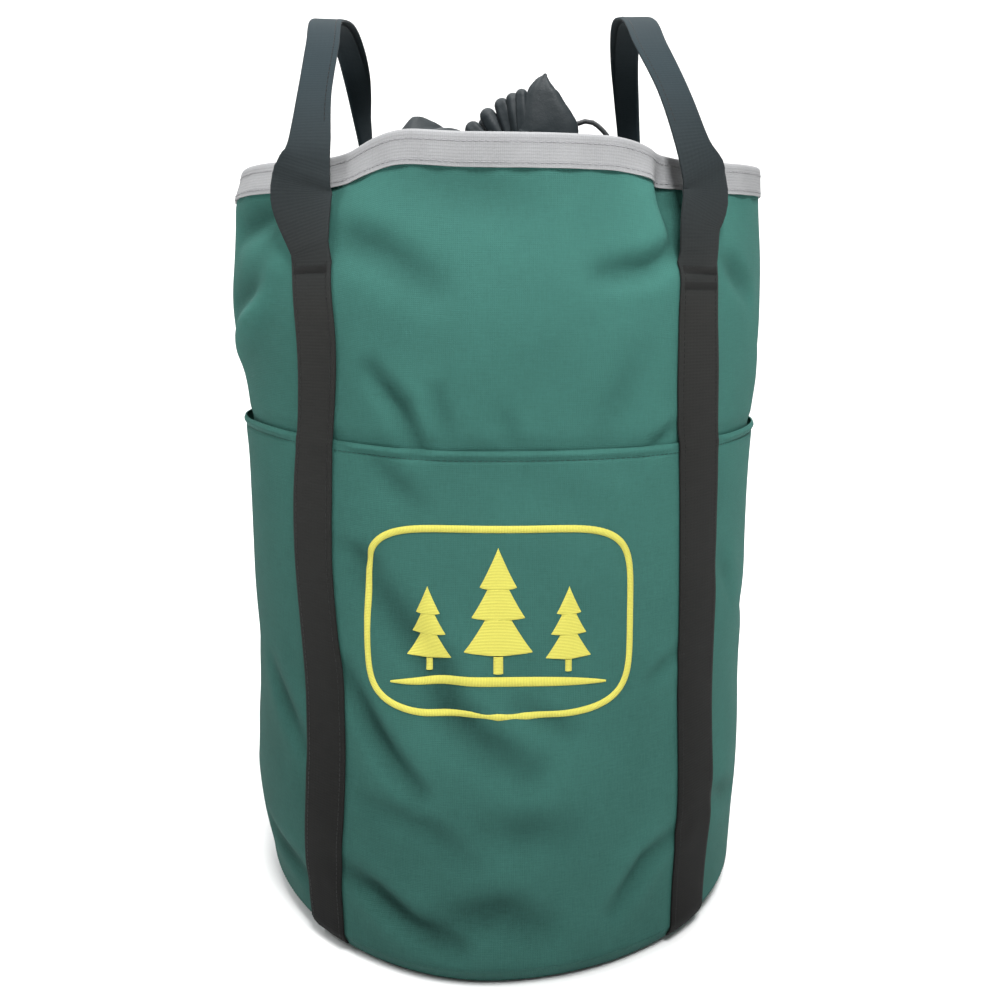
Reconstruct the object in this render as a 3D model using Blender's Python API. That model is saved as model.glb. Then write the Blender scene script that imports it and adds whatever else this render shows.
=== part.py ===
"""A rope storage bag: a canvas cylinder with a webbing rim, webbing straps that
run up into two carrying handles, and a gathered collar with a drawcord.

Metres, +Z up. The origin is the middle of the base, the front faces -Y.
Azimuths are in degrees from the front, and positive towards +X.
"""
import math

import bmesh
import bpy
from mathutils import Matrix, Vector

for leftover in list(bpy.data.objects):
    bpy.data.objects.remove(leftover)

# ---- driving dimensions ----
BAG_R = 0.180            # outside of the canvas
BASE_R = 0.173           # edge of the flat base
RIM_Z = 0.5125           # top of the rim tape at the front and the back
RIM_DROP = 0.0052        # how much lower the rim hangs at the straps
RIM_RISE_RIGHT = 0.0070  # and how far it rises again at each side
RIM_RISE_LEFT = 0.0020
POCKET_Z = 0.339         # mouth of the pockets
CANVAS = 0.0013          # one layer of canvas
WEBBING = 0.0020         # one layer of strap webbing
TAPE = 0.0011            # one layer of rim tape
TAPE_HEIGHT = 0.0185     # rim tape seen on each side of the edge
RIM_BEND = 0.006         # the tape starts to turn over the edge this far down
NYLON = 0.0012           # one layer of the collar
GAP = 0.0003             # between pieces that touch
CORNER_R = 0.016         # height of the rounded corner at the base
# Where the cylinder bulges: the height of the middle, the half height and how far it stands out.
BULGES = ((0.402, 0.055, 0.0048), (0.105, 0.050, 0.0022))

# Webbing
STRAP_WIDTH = 0.036
GRIP_WIDTH = 0.020       # the webbing is folded in two along the grip
GRIP_THICK = 0.0046
BAR_TACK_Z = 0.455       # the straps are sewn down up to here
SWING_Z = 0.512          # height of the axis that each handle swings about
LEFT_SWING_X = -0.112
RIGHT_SWING_X = 0.115
GRIP_FOOT_Z = 0.541      # where a strap's free leg becomes the handle's grip
FRONT_LEFT, FRONT_RIGHT, BACK_LEFT, BACK_RIGHT = -40.0, 39.6, -143.0, 137.0
STRAPS = (FRONT_LEFT, FRONT_RIGHT, BACK_LEFT, BACK_RIGHT)
# Where each sewn strap runs: its azimuth at heights from the base up to the bar tack.
STRAP_LINES = {
    "front_left": ((0.0065, -43.0), (0.10, -40.5), (0.17, -40.0), (0.28, -42.5), (0.345, -40.5),
                   (0.41, -37.8), (BAR_TACK_Z, FRONT_LEFT)),
    "front_right": ((0.0065, 44.0), (0.10, 43.1), (0.25, 42.9), (0.345, 40.1), (0.41, 37.6), (BAR_TACK_Z, FRONT_RIGHT)),
    "back_left": ((0.0065, -143.8), (0.15, -142.0), (0.30, -143.6), (BAR_TACK_Z, BACK_LEFT)),
    "back_right": ((0.0065, 138.2), (0.15, 136.4), (0.30, 137.8), (BAR_TACK_Z, BACK_RIGHT)),
}

# The straps draw the rim in where they hang free.
DENT_DEPTH = 0.018
DENT_ANGLE = 13.0
DENT_FOOT_Z = 0.430

# Collar
HEM_Z = 0.480            # the collar is sewn to the wall at this height
NECK = Vector((0.010, -0.082, 0.5075))   # middle of the gathered neck
NECK_R = 0.013
RIPPLES = 9              # round the collar
RIPPLE = 0.0018
HUMP = Vector((-0.055, -0.112, 0.0465))  # a fold that stands up: place and height
HUMP_SIZE = (0.034, 0.020)
MOUTH_TURN = -3.0        # the gathered mouth is turned this much about +Z
MOUTH_DEPTH = 0.030

# Drawcord
CORD_R = 0.0015
COIL_MEAN_R = 0.0165
COIL_SECTION = (0.0098, 0.0090)          # across and high
COIL_AT = Vector((0.0997, 0.012, 0.4942))
KNOT_R = 0.0050

# Cord lock: its body and plunger lie along +X, and the cord runs through them along +Y
LOCK_AT = Vector((0.0765, -0.062, 0.5050))
LOCK_R = 0.0070
LOCK_LENGTH = 0.0205
LOCK_BORE_R = 0.0056
LOCK_FLOOR = 0.0018
CORD_HOLE_R = 0.0021
PLUNGER_R = 0.0053
PLUNGER_OUT = 0.0055     # how far the plunger stands out of the body
PLUNGER_END = -0.0036    # its inner end, from the cord
PRESS = 0.0025           # how far it can be pressed
SPRING_R = 0.0034
SPRING_WIRE_R = 0.0003
SPRING_TURNS = 2.5

AROUND = 48              # divisions round the bag
CORNER_LEVELS = [0.005, 0.011, 0.020]    # heights of the rows round the base corner


# ---- shape of the bag ----
def smooth(t):
    t = min(1.0, max(0.0, t))
    return t * t * (3 - 2 * t)


def apart(a, b):
    """The angle between two azimuths, in degrees."""
    return abs((a - b + 180) % 360 - 180)


def skin_radius(azimuth, z):
    """The outermost canvas: a cylinder that bulges a little, drawn in at the straps near the rim."""
    r = BAG_R + sum(out * math.exp(-((z - middle) / half) ** 2) for middle, half, out in BULGES)
    r -= (BAG_R - BASE_R) * (1 - smooth(z / CORNER_R))
    drawn = sum(math.exp(-(apart(azimuth, a) / DENT_ANGLE) ** 2) for a in STRAPS)
    return r - DENT_DEPTH * drawn * smooth((z - DENT_FOOT_Z) / (RIM_Z - DENT_FOOT_Z))


def wall_radius(azimuth, z):
    """The outside of the wall, which lies inside the pocket layer lower down."""
    covered = 1 - smooth((z - POCKET_Z) / 0.012)
    return skin_radius(azimuth, z) - (CANVAS + GAP) * covered


def rim_height(azimuth):
    """The top edge of the rim tape."""
    to_middle = min(apart(azimuth, 0), apart(azimuth, 180))
    height = RIM_Z - RIM_DROP * smooth((to_middle - 17) / 17)
    for side, rise in ((90, RIM_RISE_RIGHT), (-90, RIM_RISE_LEFT)):
        height += rise * math.exp(-(apart(azimuth, side) / 30) ** 2)
    return height


def at(azimuth, radius, z):
    a = math.radians(azimuth)
    return Vector((radius * math.sin(a), -radius * math.cos(a), z))


# ---- makers ----
def material(name, colour, roughness, metallic=0.0):
    made = bpy.data.materials.new(name)
    made.use_nodes = True
    shader = made.node_tree.nodes["Principled BSDF"]
    shader.inputs["Base Color"].default_value = (*colour, 1)
    shader.inputs["Roughness"].default_value = roughness
    shader.inputs["Metallic"].default_value = metallic
    return made


def piece(name, vertices, faces, look):
    """One object from points in the bag's frame."""
    mesh = bpy.data.meshes.new(name)
    mesh.from_pydata(vertices, [], faces)
    shaped = bmesh.new()
    shaped.from_mesh(mesh)
    bmesh.ops.recalc_face_normals(shaped, faces=shaped.faces)
    shaped.to_mesh(mesh)
    shaped.free()
    mesh.shade_smooth()
    mesh.set_sharp_from_angle(angle=math.radians(40))
    mesh.materials.append(look)
    made = bpy.data.objects.new(name, mesh)
    bpy.context.scene.collection.objects.link(made)
    return made


def slab(name, inner, outer, look, closed=False):
    """A sheet with thickness between two grids of points. Closed joins the last column to the first."""
    rows, columns = len(inner), len(inner[0])
    vertices = [p for grid in (inner, outer) for row in grid for p in row]
    second = rows * columns
    faces = []
    spans = columns if closed else columns - 1
    for r in range(rows - 1):
        for c in range(spans):
            d = (c + 1) % columns
            quad = (r * columns + c, r * columns + d, (r + 1) * columns + d, (r + 1) * columns + c)
            faces.append(quad)
            faces.append(tuple(second + v for v in reversed(quad)))
    for r, turn in ((0, 1), (rows - 1, -1)):
        for c in range(spans):
            d = (c + 1) % columns
            edge = (r * columns + c, second + r * columns + c, second + r * columns + d, r * columns + d)
            faces.append(edge[::turn])
    if not closed:
        for c, turn in ((0, -1), (columns - 1, 1)):
            for r in range(rows - 1):
                low, high = r * columns + c, (r + 1) * columns + c
                faces.append((low, second + low, second + high, high)[::turn])
    return piece(name, vertices, faces, look)


def turned(name, profile, look, place=Matrix(), steps=24):
    """A closed outline of (radius, height) points turned about +Z, then placed."""
    vertices = []
    for s in range(steps):
        a = 2 * math.pi * s / steps
        vertices += [place @ Vector((r * math.cos(a), r * math.sin(a), h)) for r, h in profile]
    n = len(profile)
    faces = []
    for s in range(steps):
        here, there = s * n, (s + 1) % steps * n
        for i in range(n):
            j = (i + 1) % n
            faces.append((here + i, here + j, there + j, there + i))
    made = piece(name, vertices, faces, look)
    tidy = bmesh.new()
    tidy.from_mesh(made.data)
    bmesh.ops.remove_doubles(tidy, verts=tidy.verts, dist=1e-6)
    bmesh.ops.recalc_face_normals(tidy, faces=tidy.faces)
    tidy.to_mesh(made.data)
    tidy.free()
    made.data.shade_smooth()
    made.data.set_sharp_from_angle(angle=math.radians(40))
    return made


def move_origin(thing, point):
    """Puts a piece's origin at a point without moving the piece."""
    thing.data.transform(Matrix.Translation(thing.location - point))
    thing.location = point


def through_points(points, step):
    """A smooth curve through points that may carry more values than x, y and z."""
    ends = [[2 * a - b for a, b in zip(points[0], points[1])]]
    tail = [[2 * a - b for a, b in zip(points[-1], points[-2])]]
    knots = ends + [list(p) for p in points] + tail
    line = []
    for i in range(1, len(knots) - 2):
        before, here, there, after = knots[i - 1:i + 3]
        length = (Vector(there[:3]) - Vector(here[:3])).length
        count = max(1, round(length / step))
        for k in range(count):
            t = k / count
            line.append([
                0.5 * (2 * b + (c - a) * t + (2 * a - 5 * b + 4 * c - d) * t * t
                       + (3 * b - a - 3 * c + d) * t ** 3)
                for a, b, c, d in zip(before, here, there, after)
            ])
    line.append(list(points[-1]))
    return line


def cord(name, points, radius, look, step):
    """A free cord: a curve with a bevel along a smooth line through its points."""
    line = through_points(points, step)
    curve = bpy.data.curves.new(name, "CURVE")
    curve.dimensions = "3D"
    spline = curve.splines.new("POLY")
    spline.points.add(len(line) - 1)
    for slot, p in zip(spline.points, line):
        slot.co = (*p[:3], 1)
    curve.bevel_depth = radius
    curve.bevel_resolution = 2
    curve.use_fill_caps = True
    curve.materials.append(look)
    made = bpy.data.objects.new(name, curve)
    bpy.context.scene.collection.objects.link(made)
    return made


def cut(thing, cutter):
    """Takes one solid away from another and removes the cutter."""
    step = thing.modifiers.new("cut", "BOOLEAN")
    step.operation = "DIFFERENCE"
    step.solver = "EXACT"
    step.object = cutter
    graph = bpy.context.evaluated_depsgraph_get()
    result = bpy.data.meshes.new_from_object(thing.evaluated_get(graph))
    thing.modifiers.clear()
    thing.data = result
    bpy.data.objects.remove(cutter)


CANVAS_LOOK = material("green_canvas", (0.063, 0.162, 0.138), 0.85)
STRAP_LOOK = material("black_webbing", (0.040, 0.044, 0.044), 0.75)
TAPE_LOOK = material("grey_webbing", (0.47, 0.47, 0.49), 0.6)
NYLON_LOOK = material("black_nylon", (0.040, 0.052, 0.056), 0.5)
CORD_LOOK = material("black_cord", (0.03, 0.033, 0.034), 0.7)
PLASTIC_LOOK = material("black_plastic", (0.02, 0.02, 0.021), 0.4)
STEEL_LOOK = material("spring_steel", (0.6, 0.6, 0.6), 0.3, 1.0)

AZIMUTHS = [360 * i / AROUND for i in range(AROUND)]


# ---- the canvas body ----
def side_wall():
    levels = [0.0008, *CORNER_LEVELS, 0.06, 0.105, 0.16, 0.25, 0.332, POCKET_Z, 0.351]
    levels += [0.38, 0.405, 0.43, 0.45, 0.468]
    rows = [[z] * AROUND for z in levels]
    rows += [[rim_height(a) - down for a in AZIMUTHS] for down in (TAPE_HEIGHT, RIM_BEND, TAPE + GAP)]
    outer = [[at(a, wall_radius(a, z), z) for a, z in zip(AZIMUTHS, row)] for row in rows]
    inner = [[at(a, wall_radius(a, z) - CANVAS, z) for a, z in zip(AZIMUTHS, row)] for row in rows]
    slab("side_wall", inner, outer, CANVAS_LOOK, closed=True)


def base_disc():
    edge = BASE_R - 2 * CANVAS - 3 * GAP
    profile = [(0, 0), (edge - 0.003, 0), (edge - 0.0008, 0.0004), (edge, 0.0014)]
    profile += [(edge - 0.0008, 0.0024), (0, 0.0024)]
    turned("base_disc", profile, CANVAS_LOOK, steps=AROUND)


def base_seam_tape():
    """The binding tape that covers the seam between wall and base, inside."""
    inner, outer = [], []
    for z in CORNER_LEVELS:
        reach = [wall_radius(a, z) - CANVAS - 2 * GAP for a in AZIMUTHS]
        outer.append([at(a, r, z) for a, r in zip(AZIMUTHS, reach)])
        inner.append([at(a, r - TAPE, z) for a, r in zip(AZIMUTHS, reach)])
    slab("base_seam_tape", inner, outer, TAPE_LOOK, closed=True)


def pocket_wrap():
    """The outer layer, sewn down at its foot and under the straps, with a rolled hem at its mouth."""
    levels = [*CORNER_LEVELS, 0.06, 0.105, 0.16, 0.25, 0.332]
    inner = [[at(a, skin_radius(a, z) - CANVAS, z) for a in AZIMUTHS] for z in levels]
    outer = [[at(a, skin_radius(a, z), z) for a in AZIMUTHS] for z in levels]
    for z, proud in ((0.3335, 0.0007), (0.3375, 0.0007), (POCKET_Z, 0.0)):
        inner.append([at(a, skin_radius(a, z) - CANVAS, z) for a in AZIMUTHS])
        outer.append([at(a, skin_radius(a, z) + proud * hem_free(a), z) for a in AZIMUTHS])
    slab("pocket_wrap", inner, outer, CANVAS_LOOK, closed=True)


def hem_free(azimuth):
    """1 where the pocket's hem can stand proud, 0 where a strap holds it flat."""
    return smooth((min(apart(azimuth, a) for a in STRAPS) - 7) / 4)


def rim_tape():
    """Webbing folded over the wall's top edge, so its section is an upside-down U."""
    inner, outer = [], []
    over = CANVAS / 2 + GAP
    fold = [(-over, -TAPE_HEIGHT), (-over, -RIM_BEND), (-over, -TAPE), (over, -TAPE)]
    fold += [(over, -RIM_BEND), (over, -TAPE_HEIGHT)]
    skin = [(-over - TAPE, -TAPE_HEIGHT), (-over - TAPE, -RIM_BEND), (-over - 0.6 * TAPE, -0.0002)]
    skin += [(over + 0.6 * TAPE, 0.0), (over + TAPE, -RIM_BEND), (over + TAPE, -TAPE_HEIGHT)]
    for outline, grid in ((fold, inner), (skin, outer)):
        for across, down in outline:
            row = []
            for a in AZIMUTHS:
                z = rim_height(a) + down
                row.append(at(a, wall_radius(a, z) - CANVAS / 2 + across, z))
            grid.append(row)
    slab("rim_tape", inner, outer, TAPE_LOOK, closed=True)


# ---- straps and handles: one length of webbing on each side of the bag ----
# The free webbing of each side, from above the front bar tack to above the back one:
# x, y, z, direction of its width in degrees from +X, width, thickness.
LEFT_WEBBING = (
    (-0.1200, -0.1395, 0.486, -38, 0.0385, WEBBING),
    (-0.1152, -0.1400, 0.512, -34, 0.0345, 0.0024),
    (-0.1113, -0.1230, GRIP_FOOT_Z, -12, 0.0225, 0.0042),
    (-0.1096, -0.0930, 0.574, 0, GRIP_WIDTH, GRIP_THICK),
    (-0.1105, -0.0520, 0.5985, 4, GRIP_WIDTH, GRIP_THICK),
    (-0.1065, 0.0059, 0.608, 4, GRIP_WIDTH, GRIP_THICK),
    (-0.1022, 0.0600, 0.599, 8, GRIP_WIDTH, GRIP_THICK),
    (-0.0985, 0.1000, 0.5735, 22, GRIP_WIDTH, GRIP_THICK),
    (-0.0970, 0.1270, GRIP_FOOT_Z, 42, 0.0225, 0.0042),
    (-0.0995, 0.1450, 0.512, 50, 0.0330, 0.0024),
    (-0.1050, 0.1480, 0.486, 42, 0.0360, WEBBING),
)
RIGHT_WEBBING = (
    (0.1160, -0.1425, 0.486, 38, 0.0380, WEBBING),
    (0.1078, -0.1440, 0.512, 30, 0.0330, 0.0024),
    (0.0988, -0.1310, GRIP_FOOT_Z, 12, 0.0240, 0.0042),
    (0.0915, -0.1000, 0.5745, 2, GRIP_WIDTH, GRIP_THICK),
    (0.0918, -0.0570, 0.600, -4, GRIP_WIDTH, GRIP_THICK),
    (0.0918, -0.0020, 0.6105, -6, GRIP_WIDTH, GRIP_THICK),
    (0.0985, 0.0530, 0.600, -8, GRIP_WIDTH, GRIP_THICK),
    (0.1080, 0.0950, 0.573, -16, GRIP_WIDTH, GRIP_THICK),
    (0.1155, 0.1190, GRIP_FOOT_Z, -28, 0.0225, 0.0042),
    (0.1200, 0.1330, 0.512, -38, 0.0330, 0.0024),
    (0.1225, 0.1360, 0.486, -42, 0.0360, WEBBING),
)
ACROSS = (-0.5, -0.25, 0.0, 0.25, 0.5)
STRAP_CLEAR = 0.0013     # from the canvas to the webbing sewn on it


def strap_azimuth(line, z):
    """Where the middle of a sewn strap is at a height."""
    for (low, start), (high, end) in zip(line, line[1:]):
        if z <= high:
            break
    return start + (end - start) * smooth((z - low) / (high - low))


def sewn_foot(azimuth, width_turn):
    """Where the free webbing starts, at a bar tack."""
    r = skin_radius(azimuth, BAR_TACK_Z) + STRAP_CLEAR
    return (*at(azimuth, r, BAR_TACK_Z), width_turn, STRAP_WIDTH, WEBBING)


def webbing_rows(line):
    """The faces of free webbing along a line, as rows across it: towards the bag and away from it."""
    near, far = [], []
    for i, (x, y, z, turn, width, thick) in enumerate(line):
        before, after = line[max(0, i - 1)], line[min(len(line) - 1, i + 1)]
        along = (Vector(after[:3]) - Vector(before[:3])).normalized()
        side = Vector((math.cos(math.radians(turn)), math.sin(math.radians(turn)), 0))
        side = (side - along * side.dot(along)).normalized()
        out = side.cross(along).normalized()
        middle = Vector((x, y, z))
        near.append([middle + side * (width * s) for s in ACROSS])
        far.append([p + out * thick for p in near[-1]])
    return near, far


def sewn_rows(line, step):
    """The faces of webbing sewn down the bag, from the base up to just under the bar tack."""
    near, far = [], []
    levels = [0.0065, 0.011, 0.020, 0.06, 0.105, 0.16, 0.25, 0.325, 0.345, 0.375, 0.40, 0.43, 0.45]
    for z in levels:
        middle = strap_azimuth(line, z)
        across = [middle + step * math.degrees(STRAP_WIDTH * s / BAG_R) for s in ACROSS]
        near.append([at(a, skin_radius(a, z) + STRAP_CLEAR, z) for a in across])
        far.append([at(a, skin_radius(a, z) + STRAP_CLEAR + WEBBING, z) for a in across])
    return near, far


def webbing_side(side, points, swing_x):
    """The front strap, the handle and the back strap of one side."""
    front, back = (STRAP_LINES[f"{end}_{side}"][-1][1] for end in ("front", "back"))
    knots = [sewn_foot(front, front)]
    knots += list(points)
    knots.append(sewn_foot(back, back - math.copysign(180, back)))
    line = through_points(knots, 0.0105)
    near, far = webbing_rows(line)
    feet = [i for i, p in enumerate(line) if abs(p[2] - GRIP_FOOT_Z) < 1e-9]
    first, last = feet
    for end, rows, step in (("front", range(0, first + 1), 1), ("back", range(len(line) - 1, last - 1, -1), -1)):
        low, high = sewn_rows(STRAP_LINES[f"{end}_{side}"], step)
        slab(f"{end}_{side}_strap", low + [near[i] for i in rows], high + [far[i] for i in rows], STRAP_LOOK)
    grip = [near[first:last + 1], far[first:last + 1]]
    for face in grip:
        for end, inward in ((0, 1), (-1, -2)):
            step = (face[inward][2] - face[end][2]).normalized()
            face[end] = [p + step * GAP for p in face[end]]
    handle = slab(f"{side}_handle", *grip, STRAP_LOOK)
    move_origin(handle, Vector((swing_x, 0, SWING_Z)))


# ---- collar ----
def skirt_point(azimuth, t):
    """A point of the collar between the hem, t = 0, and the gathered neck, t = 1."""
    hem = at(azimuth, wall_radius(azimuth, HEM_Z) - CANVAS - 2 * GAP, HEM_Z)
    around = math.atan2(hem.y - NECK.y, hem.x - NECK.x)
    neck = NECK + Vector((math.cos(around), math.sin(around), 0)) * NECK_R
    p = hem.lerp(neck, t)
    p.z = HEM_Z + (NECK.z - HEM_Z) * smooth(t ** 1.6)
    p.z += RIPPLE * math.sin(RIPPLES * around) * math.sin(math.pi * t) * t
    off = Vector((p.x - HUMP.x, p.y - HUMP.y))
    p.z += HUMP.z * math.exp(-((off.x / HUMP_SIZE[0]) ** 2) - (off.y / HUMP_SIZE[1]) ** 2) * smooth(6 * t)
    return p


def collar_skirt():
    top = [[skirt_point(a, t) for a in AZIMUTHS] for t in (0, 0.06, 0.14, 0.24, 0.38, 0.56, 0.78, 1)]
    bottom = [[p - Vector((0, 0, NYLON)) for p in row] for row in top]
    slab("collar_skirt", bottom, top, NYLON_LOOK, closed=True)


# The gathered mouth seen from the front: along its face and height.
MOUTH_OUTLINE = (
    (-0.0070, 0.5115), (-0.0130, 0.5170), (-0.0215, 0.5250), (-0.0185, 0.5315), (-0.0110, 0.5320),
    (-0.0125, 0.5390), (-0.0045, 0.5395), (-0.0045, 0.5465), (0.0035, 0.5455), (0.0050, 0.5520),
    (0.0125, 0.5500), (0.0165, 0.5555), (0.0215, 0.5548), (0.0302, 0.5610), (0.0400, 0.5445),
    (0.0499, 0.5275), (0.0490, 0.5225), (0.0300, 0.5125), (0.0120, 0.5098),
)
MOUTH_AT = Vector((-0.0047, -0.0899, 0))


def mouth_point(along, deep, height):
    turn = math.radians(MOUTH_TURN)
    face = Vector((math.cos(turn), math.sin(turn), 0))
    back = Vector((-math.sin(turn), math.cos(turn), 0))
    return MOUTH_AT + face * along + back * deep + Vector((0, 0, height))


def collar_ruffle():
    """The gathered mouth: pleats pressed together into one soft bundle."""
    middle = (0.014, 0.528)
    layers = []
    for deep, size in ((-0.5, 0.72), (-0.3, 0.95), (0.0, 1.0), (0.3, 0.92), (0.5, 0.66)):
        layers.append([
            mouth_point(middle[0] + (x - middle[0]) * size, deep * MOUTH_DEPTH,
                        middle[1] + (z - middle[1]) * size)
            for x, z in MOUTH_OUTLINE
        ])
    n = len(MOUTH_OUTLINE)
    faces = [tuple(range(n)), tuple(reversed(range(4 * n, 5 * n)))]
    for layer in range(4):
        for i in range(n):
            j = (i + 1) % n
            faces.append((layer * n + i, (layer + 1) * n + i, (layer + 1) * n + j, layer * n + j))
    piece("collar_ruffle", [p for row in layers for p in row], faces, NYLON_LOOK)


# ---- drawcord ----
CORD_LINE = (
    mouth_point(0.0512, 0.0, 0.5333),
    mouth_point(0.0550, 0.0, 0.5345),
    mouth_point(0.0600, 0.0005, 0.5338),
    mouth_point(0.0660, 0.0010, 0.5295),
    mouth_point(0.0712, 0.0020, 0.5230),
    Vector((0.0705, -0.0900, 0.5130)),
    Vector((0.0745, -0.0860, 0.5078)),
    Vector((0.0763, -0.0790, 0.5053)),
    Vector((0.0765, -0.0720, 0.5050)),
    Vector((0.0765, -0.0560, 0.5050)),
    Vector((0.0765, -0.0400, 0.5050)),
    Vector((0.0765, -0.0310, 0.5045)),
    Vector((0.0765, -0.0200, 0.5010)),
    Vector((0.0765, -0.0080, 0.4960)),
    Vector((0.0765, 0.0020, 0.4942)),
    Vector((0.0765, 0.0120, 0.4942)),
)


def drawcord():
    cord("drawcord", CORD_LINE, CORD_R, CORD_LOOK, 0.0035)


def drawcord_coil():
    """The outer shape of the cord's free end, wound into a small ring."""
    across, high = COIL_SECTION[0] / 2, COIL_SECTION[1] / 2
    profile = []
    for i in range(8):
        a = 2 * math.pi * i / 8
        profile.append((COIL_MEAN_R + across * math.cos(a), high * math.sin(a)))
    turned("drawcord_coil", profile, CORD_LOOK, Matrix.Translation(COIL_AT), 24)


def drawcord_knot():
    beside = COIL_MEAN_R + COIL_SECTION[0] / 2 + KNOT_R + GAP
    place = Matrix.Translation(COIL_AT + Vector((beside, 0, 0)))
    profile = []
    for i in range(9):
        a = math.pi * (i / 8 - 0.5)
        profile.append((KNOT_R * math.cos(a), KNOT_R * math.sin(a)))
    turned("drawcord_knot", profile, CORD_LOOK, place, 16)


def lock_place():
    """Turns a piece made along +Z to lie along +X at the cord lock."""
    return Matrix.Translation(LOCK_AT) @ Matrix.Rotation(math.radians(90), 4, "Y")


def cord_slot(name, low, high, half):
    """A cutter along the cord, from low to high along the lock."""
    length = high - low
    mesh = bpy.data.meshes.new(name)
    box = bmesh.new()
    bmesh.ops.create_cube(box, size=1)
    box.to_mesh(mesh)
    box.free()
    mesh.transform(Matrix.Translation((low + length / 2, 0, 0)) @ Matrix.Diagonal((length, 0.04, 2 * half, 1)))
    mesh.transform(Matrix.Translation(LOCK_AT))
    made = bpy.data.objects.new(name, mesh)
    bpy.context.scene.collection.objects.link(made)
    return made


def cord_lock_body():
    """A cup with its mouth towards +X and a hole for the cord through both of its sides."""
    half = LOCK_LENGTH / 2
    round_off = 0.0012
    profile = [(0, -half), (LOCK_R - round_off, -half), (LOCK_R, -half + round_off), (LOCK_R, half - 0.0005)]
    profile += [(LOCK_R - 0.0005, half), (LOCK_BORE_R, half), (LOCK_BORE_R, -half + LOCK_FLOOR)]
    profile += [(0, -half + LOCK_FLOOR)]
    body = turned("cord_lock_body", profile, PLASTIC_LOOK, lock_place(), 28)
    cut(body, cord_slot("body_hole", -CORD_HOLE_R, CORD_HOLE_R, CORD_HOLE_R))


def cord_lock_plunger():
    """A button whose slot lets the cord through and pinches it."""
    top = LOCK_LENGTH / 2 + PLUNGER_OUT
    profile = [(0, PLUNGER_END), (PLUNGER_R - 0.0004, PLUNGER_END), (PLUNGER_R, PLUNGER_END + 0.0004)]
    profile += [(PLUNGER_R, top - 0.0012), (PLUNGER_R - 0.0012, top), (0, top)]
    plunger = turned("cord_lock_plunger", profile, PLASTIC_LOOK, lock_place(), 28)
    slot = CORD_R + GAP
    cut(plunger, cord_slot("plunger_slot", -slot, slot + PRESS, slot))


def cord_lock_spring():
    low = -LOCK_LENGTH / 2 + LOCK_FLOOR + SPRING_WIRE_R + GAP
    high = PLUNGER_END - SPRING_WIRE_R - GAP
    points = []
    steps = round(SPRING_TURNS * 10)
    for i in range(steps + 1):
        a = 2 * math.pi * i / 10
        along = low + (high - low) * i / steps
        points.append(lock_place() @ Vector((SPRING_R * math.cos(a), SPRING_R * math.sin(a), along)))
    cord("cord_lock_spring", points, SPRING_WIRE_R, STEEL_LOOK, 1.0)


side_wall()
base_disc()
base_seam_tape()
pocket_wrap()
rim_tape()
webbing_side("left", LEFT_WEBBING, LEFT_SWING_X)
webbing_side("right", RIGHT_WEBBING, RIGHT_SWING_X)
collar_skirt()
collar_ruffle()
drawcord()
drawcord_coil()
drawcord_knot()
cord_lock_body()
cord_lock_plunger()
cord_lock_spring()
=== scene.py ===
import math

import bmesh
import bpy
import numpy as np
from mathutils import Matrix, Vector


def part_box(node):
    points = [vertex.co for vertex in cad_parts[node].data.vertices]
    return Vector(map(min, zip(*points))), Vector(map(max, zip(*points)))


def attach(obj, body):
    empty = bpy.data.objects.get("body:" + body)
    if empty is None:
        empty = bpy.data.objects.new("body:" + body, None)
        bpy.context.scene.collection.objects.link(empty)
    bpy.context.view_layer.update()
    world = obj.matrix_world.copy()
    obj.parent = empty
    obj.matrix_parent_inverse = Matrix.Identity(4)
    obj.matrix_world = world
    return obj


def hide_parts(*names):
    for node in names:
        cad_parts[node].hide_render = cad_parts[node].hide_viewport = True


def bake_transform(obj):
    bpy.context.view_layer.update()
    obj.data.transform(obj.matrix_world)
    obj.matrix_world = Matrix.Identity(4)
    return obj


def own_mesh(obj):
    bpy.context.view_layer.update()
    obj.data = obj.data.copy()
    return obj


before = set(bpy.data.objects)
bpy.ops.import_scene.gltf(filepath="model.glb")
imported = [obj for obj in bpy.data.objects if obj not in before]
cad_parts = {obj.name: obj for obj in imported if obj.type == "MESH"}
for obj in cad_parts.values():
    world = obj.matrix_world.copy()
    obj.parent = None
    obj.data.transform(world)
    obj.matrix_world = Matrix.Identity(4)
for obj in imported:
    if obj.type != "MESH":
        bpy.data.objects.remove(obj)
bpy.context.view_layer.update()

# Metres, +Z up, origin in the middle of the base, front towards -Y.
# Azimuths are in degrees from the front, positive towards +X.

# ---- sizes taken from the frame ----
RIM_Z = 0.5125                  # at the front and the back
POCKET_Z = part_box("pocket_wrap")[1].z
POCKET_FOOT_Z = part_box("pocket_wrap")[0].z
HEM_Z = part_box("collar_skirt")[0].z + 0.0012
COIL_LOW, COIL_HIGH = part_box("drawcord_coil")
COIL_AT = (COIL_LOW + COIL_HIGH) / 2
KNOT_AT = sum(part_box("drawcord_knot"), Vector()) / 2

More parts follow.
